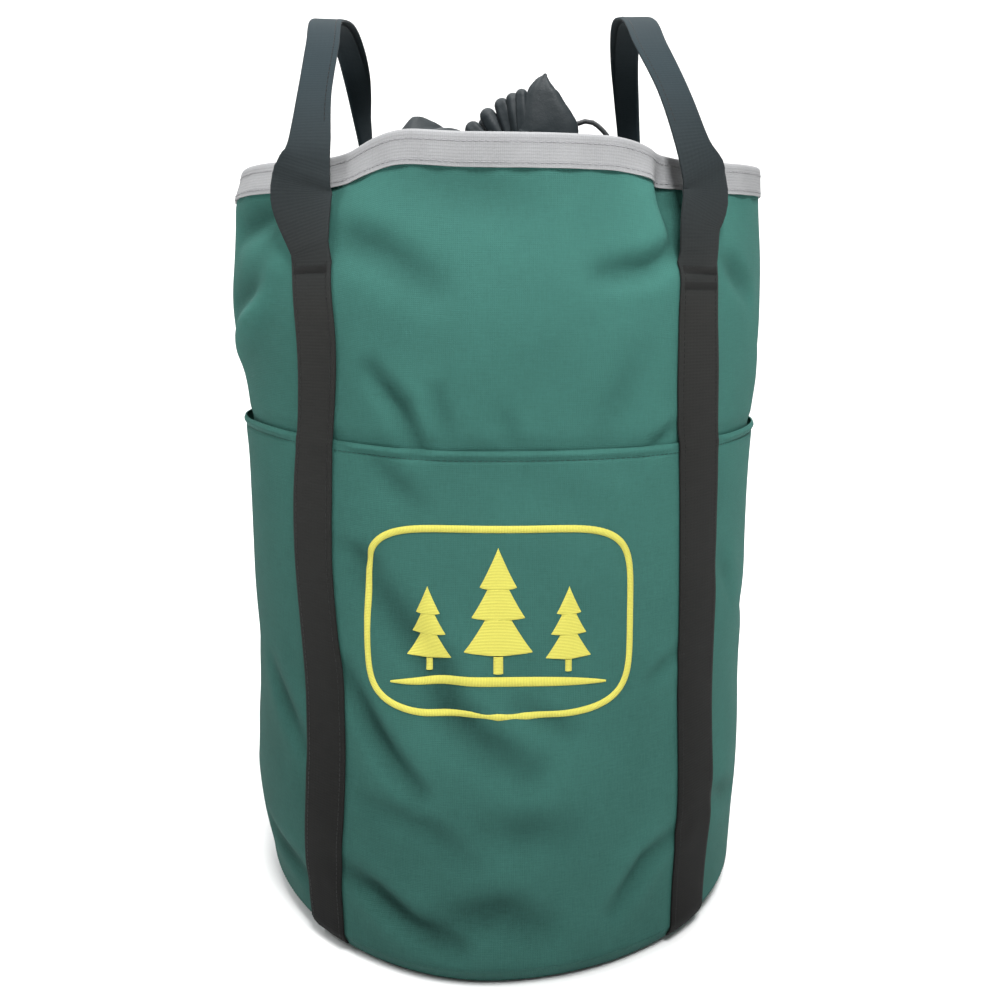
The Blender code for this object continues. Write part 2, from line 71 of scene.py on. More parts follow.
# ---- shape of the bag, close to the CAD model's ----
BAG_R = 0.180
BASE_R = 0.173
CORNER_R = 0.016                # between the wall and the base
CANVAS = 0.0013                 # thicknesses
POCKET = 0.0011
TAPE = 0.0011
TAPE_HEIGHT = 0.0185
TAPE_TURN = 0.003               # height of the rounded fold along the rim
TAPE_INSIDE = CANVAS / 2 + 0.0003       # from the middle of the wall
TAPE_OUTSIDE = TAPE_INSIDE + TAPE
RIM_DROP = 0.0052               # from the front and the back towards the straps
RIM_RISE_RIGHT = 0.0070
RIM_RISE_LEFT = 0.0020
DENT_DEPTH = 0.018              # where each strap draws the rim in
DENT_ANGLE = 13.0
DENT_FOOT_Z = 0.452
FRONT_LEFT, FRONT_RIGHT, BACK_LEFT, BACK_RIGHT = -40.0, 39.6, -143.0, 137.0
STRAPS = (FRONT_LEFT, FRONT_RIGHT, BACK_LEFT, BACK_RIGHT)
BAR_TACK_Z = 0.455
WEBBING_WIDTH = 0.0375
SEWN_WIDTH = 0.0345
WEBBING = 0.0018
NECK = Vector((0.010, -0.082, 0.5075))
NECK_R = 0.013
CORD_R = 0.0015

EMBLEM_AZIMUTH, EMBLEM_Z = -2.6, 0.2395

AROUND = 360
AZIMUTHS = 180 + 360 * np.arange(AROUND) / AROUND
UNIT = math.pi * BAG_R / 180    # metres of cloth to one degree


def smooth(t):
    t = np.clip(t, 0, 1)
    return t * t * (3 - 2 * t)


def bell(x, width, power=2):
    return np.exp(-(x / width) ** power)


def together(*parts):
    """Arrays of coordinates as one array of places."""
    return np.stack(np.broadcast_arrays(*parts), -1)


def signed(a, b):
    """Degrees from azimuth b round to azimuth a."""
    return (a - b + 180) % 360 - 180


def apart(a, b):
    return np.abs(signed(a, b))


def reaches(line):
    """The length along a line at each of its points."""
    return np.concatenate([[0], np.cumsum(np.linalg.norm(np.diff(line, axis=0), axis=1))])


def between(places, known, rows):
    """Rows of values at places that lie between the known ones."""
    return np.stack([np.interp(places, known, column) for column in rows.T], -1)


def rounded(x, power):
    """A cosine or sine whose size is raised to a power, which squares off its circle."""
    return np.sign(x) * np.abs(x) ** power


# ---- folds in the canvas ----
FOLD_STRENGTH = 2.15
BACK_FOLD_TRIES = 90
BACK_FOLD_GAP = 0.034
# Each fold is a valley: a line of (azimuth, height) points, its half width and its depth in metres.
FRONT_FOLDS = (
    (((-35.5, 0.203), (-27.5, 0.166), (-23, 0.148), (-18.5, 0.131)), 0.0085, 0.0050),
    (((-30, 0.268), (-19.5, 0.231), (-14, 0.210), (-12, 0.186), (-6, 0.166), (3, 0.146)), 0.0130, 0.0054),
    (((1, 0.190), (5, 0.182), (11, 0.170)), 0.0080, 0.0024),
    (((-36, 0.283), (-27, 0.272)), 0.0065, 0.0016),
    (((37, 0.211), (29, 0.196)), 0.0060, 0.0022),
    (((-30, 0.118), (-16, 0.107), (-8, 0.088)), 0.0090, 0.0018),
    (((-37, 0.066), (-28.5, 0.057), (-21, 0.042), (-11, 0.028)), 0.0090, 0.0046),
    (((-12, 0.046), (-2, 0.053), (6, 0.040)), 0.0140, 0.0038),
    (((-3, 0.108), (9, 0.106)), 0.0140, 0.0028),
    (((39, 0.088), (29, 0.074), (22, 0.046)), 0.0080, 0.0034),
    (((-62, 0.183), (-45, 0.138)), 0.0090, 0.0026),
    (((-68, 0.056), (-49, 0.043)), 0.0090, 0.0028),
    (((50, 0.262), (57, 0.236)), 0.0100, 0.0018),
    (((50, 0.098), (62, 0.082)), 0.0090, 0.0022),
    (((-26, 0.386), (-20.5, 0.366), (-17.5, 0.343)), 0.0070, 0.0040),
    (((-13.5, 0.374), (-12, 0.350)), 0.0065, 0.0022),
    (((-1.5, 0.362), (0.5, 0.345)), 0.0060, 0.0014),
    (((33.5, 0.354), (28, 0.343)), 0.0055, 0.0024),
    (((24, 0.394), (17, 0.350)), 0.0120, 0.0016),
    (((-37, 0.464), (-24, 0.452), (-14, 0.432)), 0.0120, 0.0034),
    (((-45, 0.452), (-58, 0.420), (-75, 0.394)), 0.0110, -0.0030),
    (((-47, 0.478), (-66, 0.470)), 0.0110, 0.0050),
    (((-50, 0.436), (-70, 0.425)), 0.0100, 0.0026),
    (((33, 0.458), (25, 0.444), (16, 0.440)), 0.0080, 0.0036),
    (((44, 0.452), (58, 0.430)), 0.0090, 0.0028),
    (((-16, 0.489), (2, 0.476)), 0.0160, 0.0018),
    (((-26, 0.330), (-18, 0.308)), 0.0090, 0.0020),
    (((5, 0.325), (18, 0.300)), 0.0140, 0.0010),
    (((31.6, 0.506), (32.0, 0.482), (34.6, 0.456)), 0.0125, 0.0112),
)


def back_folds():
    """Folds of the same kind round the sides and the back, none of which runs into another."""
    rng = np.random.default_rng(21)
    made, taken = [], []
    for strap in (BACK_LEFT, BACK_RIGHT):
        for way in (-1, 1):
            made.append((((strap + 6 * way, 0.455), (strap + 22 * way, 0.440)), 0.010, 0.0030))
            made.append((((strap + 6 * way, 0.075), (strap + 24 * way, 0.045)), 0.010, 0.0028))
            for height in (0.447, 0.06):
                taken.extend(np.array([(strap + t * way) * UNIT, height]) for t in (6, 15, 24))
    for _ in range(BACK_FOLD_TRIES):
        azimuth, height = rng.uniform(80, 280), rng.uniform(0.03, 0.48)
        reach, slope = rng.uniform(6, 15), rng.uniform(0.3, 1.3) * rng.choice((-1, 1))
        width, depth = rng.uniform(0.009, 0.016), rng.uniform(0.0010, 0.0026)
        points = tuple((azimuth + reach * t, height + slope * reach * t * UNIT + 0.004 * t * t)
                       for t in (-1, -0.4, 0.3, 1))
        along = np.array([((azimuth + reach * t) * UNIT, height + slope * reach * t * UNIT)
                          for t in np.linspace(-1, 1, 9)])
        if np.min(np.linalg.norm(along[:, None] - np.array(taken), axis=-1)) < BACK_FOLD_GAP:
            continue
        taken.extend(along)
        made.append((points, width, depth))
    return tuple(made)


FOLDS = FRONT_FOLDS + back_folds()


def fold_height(azimuth, z):
    """How far the folds push the canvas out (or in, below 0), for arrays of places."""
    total = np.zeros(np.broadcast(azimuth, z).shape)
    for points, width, depth in FOLDS:
        middle = points[len(points) // 2][0]
        x = signed(azimuth, middle) * UNIT
        line = np.array([(signed(a, middle) * UNIT, h) for a, h in points])
        start = reaches(line)
        nearest, share = np.full(total.shape, 1e9), np.zeros(total.shape)
        for i, (a, b) in enumerate(zip(line[:-1], line[1:])):
            d = b - a
            t = np.clip(((x - a[0]) * d[0] + (z - a[1]) * d[1]) / (d @ d), 0, 1)
            far = np.hypot(x - a[0] - t * d[0], z - a[1] - t * d[1])
            closer = far < nearest
            nearest = np.where(closer, far, nearest)
            share = np.where(closer, (start[i] + t * (start[i + 1] - start[i])) / start[-1], share)
        taper = 0.25 + 0.75 * np.sin(np.pi * np.clip(0.1 + 0.8 * share, 0, 1))
        valley = bell(nearest, width) - 0.42 * bell(nearest, 2.4 * width)
        total -= FOLD_STRENGTH * depth * taper * valley
    return total


def slow_waves(azimuth, z):
    """Broad unevenness of the whole cloth."""
    rng = np.random.default_rng(5)
    total = 0
    for turns in (2, 3, 4, 5, 7, 9, 12):
        for _ in range(2):
            rise, phase, lean = rng.uniform(6, 26), rng.uniform(0, 6.28), rng.uniform(0, 6.28)
            total = total + np.cos(turns * np.radians(azimuth) + phase) * np.cos(rise * z * 2 + lean) / turns
    return 0.0011 * total


def relief(azimuth, z):
    """Folds and waves, held flatter at the base, the rim, the sewn straps and the embroidery."""
    to_strap = np.min([apart(azimuth, a) for a in STRAPS], axis=0)
    held = 0.35 + 0.65 * smooth((to_strap - 4) / 8)
    ends = smooth(z / 0.02) * (0.35 + 0.65 * smooth((RIM_Z - z) / 0.03))
    sewn = (signed(azimuth, EMBLEM_AZIMUTH) / 29) ** 4 + ((z - EMBLEM_Z) / 0.066) ** 4
    stiff = 1 - 0.62 * np.exp(-sewn)
    return (fold_height(azimuth, z) + slow_waves(azimuth, z)) * held * ends * stiff


def skin_radius(azimuth, z):
    """The outermost canvas, without its relief."""
    r = BAG_R + 0.0048 * bell(z - 0.410, 0.046) + 0.0022 * bell(z - 0.105, 0.05)
    r = r - (BAG_R - BASE_R) * (1 - smooth(z / CORNER_R))
    r = r + 0.0024 * np.sin(np.radians(azimuth)) * smooth((z - 0.06) / 0.08) * smooth((0.44 - z) / 0.06)
    r = r + 0.0036 * bell(apart(azimuth, 84), 24) * bell(z - 0.458, 0.034)
    r = r + 0.0028 * bell(apart(azimuth, -9), 17) * bell(z, 0.03)
    r = r - 0.0100 * bell(apart(azimuth, -68), 30) * bell(z, 0.052)
    r = r - 0.0064 * bell(apart(azimuth, -84), 26) * smooth((z - 0.484) / 0.025)
    drawn = sum(bell(apart(azimuth, a), DENT_ANGLE) for a in STRAPS)
    return r - DENT_DEPTH * drawn * smooth((z - DENT_FOOT_Z) / (RIM_Z - DENT_FOOT_Z))


def side_open(azimuth):
    """1 in the middle of each side pocket, whose mouth hangs a little open."""
    return smooth((28 - np.abs(apart(azimuth, 0) - 88)) / 24)


def pocket_top(azimuth):
    """The pocket's mouth, which runs a little higher towards the sides."""
    turn = signed(azimuth, 0)
    rise = 0.0062 * smooth((-turn - 8) / 60) + 0.0020 * smooth((turn - 20) / 50)
    return POCKET_Z + 0.0028 + rise * smooth((175 - np.abs(turn)) / 50)


def wall_radius(azimuth, z):
    """The outside of the wall, which lies inside the pocket layer lower down."""
    covered = 1 - smooth((z - pocket_top(azimuth)) / 0.010)
    mouth = bell(z - pocket_top(azimuth), 0.02) * side_open(azimuth)
    return skin_radius(azimuth, z) + relief(azimuth, z) - (CANVAS + 0.0004) * covered - 0.0030 * mouth


def rim_height(azimuth):
    to_middle = np.minimum(apart(azimuth, 0), apart(azimuth, 180))
    height = RIM_Z - RIM_DROP * smooth((to_middle - 17) / 17)
    for side, rise in ((90, RIM_RISE_RIGHT), (-90, RIM_RISE_LEFT)):
        height = height + rise * bell(apart(azimuth, side), 30)
    return height + 0.0020 * bell(apart(azimuth, 0), 34, 4) + 0.0034 * bell(apart(azimuth, -22), 9.5)


def at(azimuth, radius, z):
    a = np.radians(azimuth)
    return together(radius * np.sin(a), -radius * np.cos(a), z)


# ---- meshes ----
def placed(name, data):
    made = bpy.data.objects.new(name, data)
    bpy.context.scene.collection.objects.link(made)
    return made


def new_mesh(name, points, faces, cloth, look):
    """One object from arrays: faces of corner indices, and each corner's place on the flat cloth."""
    mesh = bpy.data.meshes.new(name)
    mesh.from_pydata(np.asarray(points).reshape(-1, 3).tolist(), [], [list(f) for f in faces])
    layer = mesh.uv_layers.new(name="cloth")
    layer.data.foreach_set("uv", np.asarray(cloth, np.float32).ravel())
    shaped = bmesh.new()
    shaped.from_mesh(mesh)
    bmesh.ops.recalc_face_normals(shaped, faces=shaped.faces)
    shaped.to_mesh(mesh)
    shaped.free()
    mesh.shade_smooth()
    mesh.set_sharp_from_angle(angle=math.radians(50))
    mesh.materials.append(look)
    return placed(name, mesh)


def strip(rows, columns, wrap=True):
    """The faces of a grid of points, and the row and column of each face's corners."""
    r, c = np.meshgrid(np.arange(rows - 1), np.arange(columns if wrap else columns - 1), indexing="ij")
    r = together(r, r, r + 1, r + 1).reshape(-1, 4)
    c = together(c, c + 1, c + 1, c).reshape(-1, 4)
    return r * columns + c % columns, r, c


def shell(name, outer, inner, cloth, look, wrap=True):
    """A skin with thickness and closed edges. Where it wraps, cloth has one more column than the points."""
    rows, columns = outer.shape[:2]
    front, r, c = strip(rows, columns, wrap)
    faces, places = [front, (front + rows * columns)[:, ::-1]], [cloth[r, c], cloth[r, c][:, ::-1]]
    spans = np.arange(columns if wrap else columns - 1)
    for row, flip in ((0, 1), (rows - 1, -1)):
        a, b = row * columns + spans, row * columns + (spans + 1) % columns
        edge = together(a, a + rows * columns, b + rows * columns, b)[:, ::flip]
        faces.append(edge)
        where = np.stack([cloth[row, spans]] * 2 + [cloth[row, spans + 1]] * 2, 1)[:, ::flip]
        places.append(where)
    if not wrap:
        spans = np.arange(rows - 1)
        for column, flip in ((0, 1), (columns - 1, -1)):
            a, b = spans * columns + column, (spans + 1) * columns + column
            edge = together(a, b, b + rows * columns, a + rows * columns)[:, ::flip]
            faces.append(edge)
            where = np.stack([cloth[spans, column], cloth[spans + 1, column]] * 2, 1)[:, [0, 1, 3, 2]]
            places.append(where[:, ::flip])
    points = np.concatenate([outer.reshape(-1, 3), inner.reshape(-1, 3)])
    return new_mesh(name, points, np.concatenate(faces), np.concatenate(places), look)


def tube(name, rings, cloth, look):
    """A closed body through rings of points, with flat ends."""
    rows, columns = rings.shape[:2]
    sides, r, c = strip(rows, columns)
    faces, places = sides.tolist(), cloth[r, c].reshape(-1, 2)
    for row in (0, rows - 1):
        faces.append([row * columns + i for i in range(columns)])
        places = np.concatenate([places, cloth[row, :columns]])
    return new_mesh(name, rings, faces, places, look)


def round_cloth(heights):
    """Places on the flat cloth for a grid round the bag, whose rows are at heights on it."""
    wide = np.append(AZIMUTHS, AZIMUTHS[0] + 360) * UNIT
    return together(wide, heights[:, None])


def round_skin(name, r, thickness, z, heights, look):
    """A band of cloth round the bag, from its outer radius inwards."""
    outer, inner = at(AZIMUTHS, r, z), at(AZIMUTHS, r - thickness, z)
    return shell(name, outer, inner, round_cloth(heights), look)


# ---- materials ----
def nodes_of(name, roughness, **extra):
    look = bpy.data.materials.new(name)
    look.use_nodes = True
    tree = look.node_tree
    shader = tree.nodes["Principled BSDF"]
    shader.inputs["Roughness"].default_value = roughness
    for socket, value in extra.items():
        shader.inputs[socket.replace("_", " ")].default_value = value
    return look, tree, shader


def add(tree, kind, operation=None, inputs=(), **settings):
    """A node, with its inputs linked from sockets or set to values."""
    node = tree.nodes.new(kind)
    if operation:
        node.operation = operation
    for key, value in settings.items():
        setattr(node, key, value)
    for i, value in enumerate(inputs):
        if isinstance(value, bpy.types.NodeSocket):
            tree.links.new(value, node.inputs[i])
        else:
            node.inputs[i].default_value = value
    return node


def maths(tree, operation, *values):
    return add(tree, "ShaderNodeMath", operation, values).outputs[0]


def cloth_place(tree):
    """The place on the flat cloth, in metres."""
    return add(tree, "ShaderNodeUVMap", uv_map="cloth").outputs[0]


def cloth_axes(tree):
    return add(tree, "ShaderNodeSeparateXYZ", inputs=[cloth_place(tree)]).outputs[:2]


def wave(tree, coordinate, period):
    """A wave from 0 to 1 along a direction."""
    turn = maths(tree, "MULTIPLY", coordinate, 2 * math.pi / period)
    return maths(tree, "MULTIPLY_ADD", maths(tree, "SINE", turn), 0.5, 0.5)


def noise(tree, vector, scale, detail, rough=0.55):
    node = add(tree, "ShaderNodeTexNoise", inputs=[vector])
    for socket, value in (("Scale", scale), ("Detail", detail), ("Roughness", rough)):
        node.inputs[socket].default_value = value
    return node.outputs["Fac"]


def object_place(tree):
    return add(tree, "ShaderNodeTexCoord").outputs["Object"]


def painted_base_shade(tree, lean=0.0):
    """From 1 at the rim to 0 at the base: painted shade that darkens cloth towards the base. lean tilts it to
    make the left side darker.
    """
    place = object_place(tree)
    x, _, z = add(tree, "ShaderNodeSeparateXYZ", inputs=[place]).outputs
    height = maths(tree, "MULTIPLY_ADD", x, lean, z)
    drift = maths(tree, "MULTIPLY_ADD", noise(tree, place, 9, 3), 0.10, -0.05)
    raised = maths(tree, "ADD", height, drift)
    return add(tree, "ShaderNodeMapRange", inputs=[raised, 0.0, 0.46, 0.0, 1.0]).outputs[0]


def shade(tree, shader, colour, amounts):
    """The base colour, made lighter and darker by (field, how much) pairs round their middle of 0.5."""
    level = 1 - sum(much for _, much in amounts)
    for field, much in amounts:
        level = maths(tree, "MULTIPLY_ADD", field, 2 * much, level)
    mixed = add(tree, "ShaderNodeVectorMath", "SCALE", [colour])
    tree.links.new(level, mixed.inputs["Scale"])
    tree.links.new(mixed.outputs[0], shader.inputs["Base Color"])


def bumps(tree, shader, height, distance, strength):
    bump = add(tree, "ShaderNodeBump")
    bump.inputs["Strength"].default_value = strength
    bump.inputs["Distance"].default_value = distance
    tree.links.new(height, bump.inputs["Height"])
    tree.links.new(bump.outputs[0], shader.inputs["Normal"])


def crossing(tree, x, y, period):
    """Threads over and under each other."""
    return maths(tree, "MAXIMUM", wave(tree, x, period), wave(tree, y, period))


def slubs(tree, across, along):
    """Threads of uneven thickness: noise stretched by its scales across and along the cloth."""
    stretched = add(tree, "ShaderNodeVectorMath", "MULTIPLY", [cloth_place(tree), (across, along, 1)])
    return noise(tree, stretched.outputs[0], 1.0, 2)


def creased(thing, azimuth, z):
    """Stores how deep in a fold each place is, for painted shade that darkens the canvas in the folds and
    lightens it on their ridges.
    """
    depth = np.clip(fold_height(azimuth, z) / 0.006, -1, 1).ravel()
    field = thing.data.attributes.new("crease", "FLOAT", "POINT")
    field.data.foreach_set("value", np.tile(depth, 2).astype(np.float32))


def canvas_look(name, colour):
    look, tree, shader = nodes_of(name, 0.86, Sheen_Weight=0.02, Sheen_Roughness=0.5,
                                  Sheen_Tint=(0.4, 0.9, 0.8, 1), Specular_IOR_Level=0.08)
    over = crossing(tree, *cloth_axes(tree), 0.0011)
    place = object_place(tree)
    mottled, fine = noise(tree, place, 22, 4), noise(tree, place, 900, 2)
    crease = add(tree, "ShaderNodeAttribute", attribute_name="crease").outputs["Fac"]
    # painted shade: darker in the folds, lighter on their ridges
    painted_crease_shade = maths(tree, "MULTIPLY_ADD", crease, 0.5, 0.5)
    wefts, warps = slubs(tree, 90, 1100), slubs(tree, 1100, 90)
    shade(tree, shader, colour, [
        (mottled, 0.14), (fine, 0.12), (over, 0.03), (wefts, 0.12), (warps, 0.12),
        # painted shade: the canvas darker towards the base and on the left
        (painted_base_shade(tree, 0.85), 0.31), (painted_crease_shade, 0.34),
    ])
    height = maths(tree, "MULTIPLY_ADD", warps, 0.8, maths(tree, "MULTIPLY_ADD", wefts, 0.8, over))
    bumps(tree, shader, height, 0.00013, 0.6)
    return look


def webbing_look(name, colour, rib, lengthwise, depth, sheen, lines_share, base_shade_share, high=None):
    """Ribbed webbing. rib is the period across its length, lengthwise the one across its width.
    high is its bluer colour above the rim, blended in from 0.42 to 0.56 m up."""
    look, tree, shader = nodes_of(name, 0.80, Sheen_Weight=sheen, Sheen_Roughness=0.5, Specular_IOR_Level=0.03)
    x, y = cloth_axes(tree)
    ribs, lines = wave(tree, y, rib), wave(tree, x, lengthwise)
    place = object_place(tree)
    mottled, fine = noise(tree, place, 30, 3), noise(tree, place, 1300, 2)
    if high:
        z = add(tree, "ShaderNodeSeparateXYZ", inputs=[place]).outputs[2]
        share = add(tree, "ShaderNodeMapRange", inputs=[z, 0.42, 0.56, 0.0, 1.0]).outputs[0]
        mix = add(tree, "ShaderNodeMix", inputs=[share], data_type="VECTOR")
        mix.inputs[4].default_value, mix.inputs[5].default_value = colour, high     # its two vectors
        colour = mix.outputs[1]
    shade(tree, shader, colour, [
        # painted shade: the webbing darker towards the base
        (mottled, 0.12), (fine, 0.16), (ribs, 0.04), (lines, 0.06 * lines_share), (painted_base_shade(tree), base_shade_share),
    ])
    height = maths(tree, "MULTIPLY_ADD", fine, 0.4, maths(tree, "MULTIPLY_ADD", lines, lines_share, ribs))
    bumps(tree, shader, height, depth, 0.8)
    return look


def nylon_look(name, colour):
    look, tree, shader = nodes_of(name, 0.55, Sheen_Weight=0.05, Sheen_Roughness=0.35, Specular_IOR_Level=0.25)
    place = object_place(tree)
    puckers, fine = noise(tree, place, 70, 5, 0.6), noise(tree, place, 1500, 2)
    shade(tree, shader, colour, [(puckers, 0.12), (fine, 0.10)])
    height = maths(tree, "MULTIPLY_ADD", fine, 0.12, puckers)
    bumps(tree, shader, height, 0.0012, 0.5)
    return look


def thread_look(name, colour, period):
    """Embroidery or sewing thread: fine strands across the flat direction x."""
    look, tree, shader = nodes_of(name, 0.6, Sheen_Weight=0.03, Sheen_Roughness=0.3, Specular_IOR_Level=0.12)
    strands = wave(tree, cloth_axes(tree)[0], period)
    fine = noise(tree, object_place(tree), 1400, 2)
    shade(tree, shader, colour, [(strands, 0.14), (fine, 0.10)])
    bumps(tree, shader, strands, 0.0002, 0.8)
    return look


def braid_look(name, colour, radius):
    """Braided cord: two sets of strands that cross on the slant."""
    look, tree, shader = nodes_of(name, 0.6, Sheen_Weight=0.2, Sheen_Roughness=0.4)
    place = object_place(tree)
    x, y, _ = add(tree, "ShaderNodeSeparateXYZ", inputs=[place]).outputs
    braid = crossing(tree, maths(tree, "ADD", x, y), maths(tree, "SUBTRACT", x, y), radius * 1.1)
    shade(tree, shader, colour, [(braid, 0.2), (noise(tree, place, 900, 2), 0.15)])
    bumps(tree, shader, braid, 0.0002, 0.7)
    return look


def moulded_look(name, colour, roughness, metallic=0.0):
    look, tree, shader = nodes_of(name, roughness, Metallic=metallic)
    grain = noise(tree, object_place(tree), 1800, 3)
    shade(tree, shader, colour, [(grain, 0.12)])
    bumps(tree, shader, grain, 0.00008, 0.5)
    return look


CANVAS_LOOK = canvas_look("green_canvas", (0.0300, 0.0985, 0.0830))
# the strap colour is darkened towards the base by painted shade, at a share of 0.62
STRAP_LOOK = webbing_look(
    "black_webbing", (0.0158, 0.0160, 0.0152), rib=0.0019, lengthwise=0.0030, depth=0.00007, sheen=0.03,
    lines_share=0.3, base_shade_share=0.62, high=(0.0132, 0.0190, 0.0218),
)
TAPE_LOOK = webbing_look(
    "grey_tape", (0.270, 0.273, 0.278), rib=0.0017, lengthwise=0.0011, depth=0.00006, sheen=0.05,
    lines_share=0.6, base_shade_share=0.0,
)
NYLON_LOOK = nylon_look("black_nylon", (0.0135, 0.0190, 0.0220))
GREEN_THREAD = thread_look("green_thread", (0.022, 0.072, 0.061), 0.0008)
BLACK_THREAD = thread_look("black_thread", (0.0155, 0.0158, 0.0155), 0.0008)
GREY_THREAD = thread_look("grey_thread", (0.29, 0.29, 0.30), 0.0008)
YELLOW_THREAD = thread_look("yellow_thread", (0.545, 0.510, 0.094), 0.0009)
CORD_LOOK = braid_look("black_cord", (0.022, 0.025, 0.027), CORD_R)
PLASTIC_LOOK = moulded_look("black_plastic", (0.018, 0.018, 0.019), 0.42)
STEEL_LOOK = moulded_look("spring_steel", (0.55, 0.55, 0.56), 0.28, 1.0)


# ---- canvas ----
def side_wall():
    """The tube of canvas, from the base seam up into the rim tape."""
    top = rim_height(AZIMUTHS) - TAPE - 0.0006
    share = np.concatenate([np.linspace(0, 0.04, 10)[:-1], np.linspace(0.04, 1, 165)])
    z = 0.0010 + share[:, None] * (top - 0.0010)
    made = round_skin("canvas_wall", wall_radius(AZIMUTHS, z), CANVAS, z, share * RIM_Z, CANVAS_LOOK)
    creased(made, AZIMUTHS, z)
    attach(made, "bag")
    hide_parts("side_wall")


def pocket_radius(azimuth, z):
    """The outside of the pocket layer, with its rolled hem and its mouths open at the sides."""
    down = pocket_top(azimuth) - z
    near_strap = np.min([apart(azimuth, a) for a in STRAPS], axis=0)
    free = smooth((near_strap - 6.5) / 4)
    bead = 0.0011 * bell(down - 0.0024, 0.0019) - 0.0005 * bell(down - 0.0058, 0.0011)
    hang = 0.0012 * side_open(azimuth) * bell(down, 0.022)
    return skin_radius(azimuth, z) + relief(azimuth, z) + (bead + hang) * free


def pocket_wrap():
    low = POCKET_FOOT_Z - 0.0015
    share = np.concatenate([
        np.linspace(0, 0.05, 8)[:-1], np.linspace(0.05, 0.973, 104)[:-1], np.linspace(0.973, 1, 16),
    ])
    z = low + share[:, None] * (pocket_top(AZIMUTHS) - low)
    made = round_skin("pocket_layer", pocket_radius(AZIMUTHS, z), POCKET, z, share * POCKET_Z, CANVAS_LOOK)
    creased(made, AZIMUTHS, z)
    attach(made, "bag")
    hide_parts("pocket_wrap")


def base():
    """The round bottom, a little slack, with the binding tape over its seam inside."""
    wall = wall_radius(AZIMUTHS, 0 * AZIMUTHS + 0.002)
    edge = np.minimum(BASE_R - 2 * CANVAS - 0.0009, wall - CANVAS - 0.0007)
    share = np.linspace(0.012, 1, 44)[:, None]
    z_low = 0.0001 + 0.0006 * np.sin(share * 21) ** 2 * smooth((1 - share) * 8)
    r = share * edge
    low = at(AZIMUTHS, r, z_low + 0.0006 * smooth((share - 0.97) / 0.03))
    high = low + np.array([0, 0, 0.0022])
    around = np.radians(np.append(AZIMUTHS, 540))
    cloth = together(BASE_R * share * np.sin(around), BASE_R * share * np.cos(around))
    made = shell("base_canvas", high, low, cloth, CANVAS_LOOK)
    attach(made, "bag")
    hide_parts("base_disc")

    z = np.linspace(0.0045, 0.0200, 9)[:, None]
    r = wall_radius(AZIMUTHS, z) - CANVAS - 0.0006
    crown = 0.0003 * np.sin(np.pi * (z - z[0]) / (z[-1] - z[0]))
    made = round_skin("base_binding", r, TAPE + crown, z, z[:, 0], TAPE_LOOK)
    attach(made, "bag")
    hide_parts("base_seam_tape")


def rim_section():
    """The folded tape's outline: (across the wall, above its top edge)."""
    z = np.linspace(-TAPE_HEIGHT, -TAPE_TURN, 12)
    a = np.linspace(0, math.pi, 11)[1:-1]
    front = together(0 * z + TAPE_OUTSIDE, z)
    over = together(TAPE_OUTSIDE * np.cos(a), TAPE_TURN * (np.sin(a) - 1))
    return np.concatenate([front, over, (front * (-1, 1))[::-1]])


def tape_radius(azimuth, z):
    return wall_radius(azimuth, z) - CANVAS / 2


def tape_ripple(azimuth, below):
    """How far the tape waves off the wall, which grows from its top edge down."""
    return 0.0004 * np.sin(np.radians(azimuth) * 47) * smooth(below / TAPE_HEIGHT)


def rim_tape():
    outline = rim_section()
    inside = outline * (TAPE_INSIDE / TAPE_OUTSIDE, 1)
    inside[:, 1] = np.minimum(inside[:, 1], -TAPE)
    grids = []
    for points in (outline, inside):
        across, above = points[:, :1], points[:, 1:]
        z = rim_height(AZIMUTHS) + above
        ripple = tape_ripple(AZIMUTHS, -above) * np.sign(across)
        grids.append(at(AZIMUTHS, tape_radius(AZIMUTHS, z) + across + ripple, z))
    made = shell("rim_binding", *grids, round_cloth(reaches(outline)), TAPE_LOOK)
    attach(made, "bag")
    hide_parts("rim_tape")


# ---- stitches ----
STITCH_PITCH = 0.0034


def stitches(name, rows, look):
    """Thread lying on cloth. Each row is (places, directions, normals, length, radius)."""
    grids = []
    for places, directions, normals, length, radius in rows:
        sides = np.cross(directions, normals)
        along = np.array([-0.5, -0.34, 0, 0.34, 0.5]) * length
        thick = np.array([0.35, 0.85, 1, 0.85, 0.35]) * radius
        turn = np.arange(6) * math.pi / 3
        grid = places[:, None, None] + directions[:, None, None] * along[None, :, None, None]
        grid = grid + sides[:, None, None] * (thick[:, None] * np.cos(turn))[None, :, :, None]
        grid = grid + normals[:, None, None] * (thick[:, None] * np.sin(turn) * 0.8)[None, :, :, None]
        grids.append(grid)
    points = np.concatenate(grids)
    sides, r, c = strip(5, 6)
    one = [list(f) for f in sides] + [list(range(6)), list(range(24, 30))]
    where = together(c, r).reshape(-1, 2) * np.array([0.0003, 0.0008])
    where = np.concatenate([where, np.zeros((12, 2))])
    faces = [[v + 30 * i for v in f] for i in range(len(points)) for f in one]
    return new_mesh(name, points, faces, np.tile(where, (len(points), 1)), look)


def unit(v):
    return v / np.maximum(np.linalg.norm(v, axis=-1, keepdims=True), 1e-12)


def row_along(line, normals, pitch, length, radius, closed=False):
    """A row of stitches laid along a line of points."""
    if closed:
        line, normals = np.vstack([line, line[:1]]), np.vstack([normals, normals[:1]])
    reach = reaches(line)
    middles = np.arange(pitch / 2, reach[-1], pitch)
    behind, places, ahead = (between(middles + pitch * share, reach, line) for share in (-0.3, 0, 0.3))
    return places, unit(ahead - behind), unit(between(middles, reach, normals)), length, radius


def ring_row(radius_at, z_at, lift):
    """A stitch row round the bag."""
    azimuths = np.arange(0, 360, 1.0)
    z = z_at(azimuths)
    line = at(azimuths, radius_at(azimuths, z) + lift, z)
    return row_along(line, at(azimuths, 1.0, 0 * z), STITCH_PITCH, 0.0027, 0.00033, closed=True)


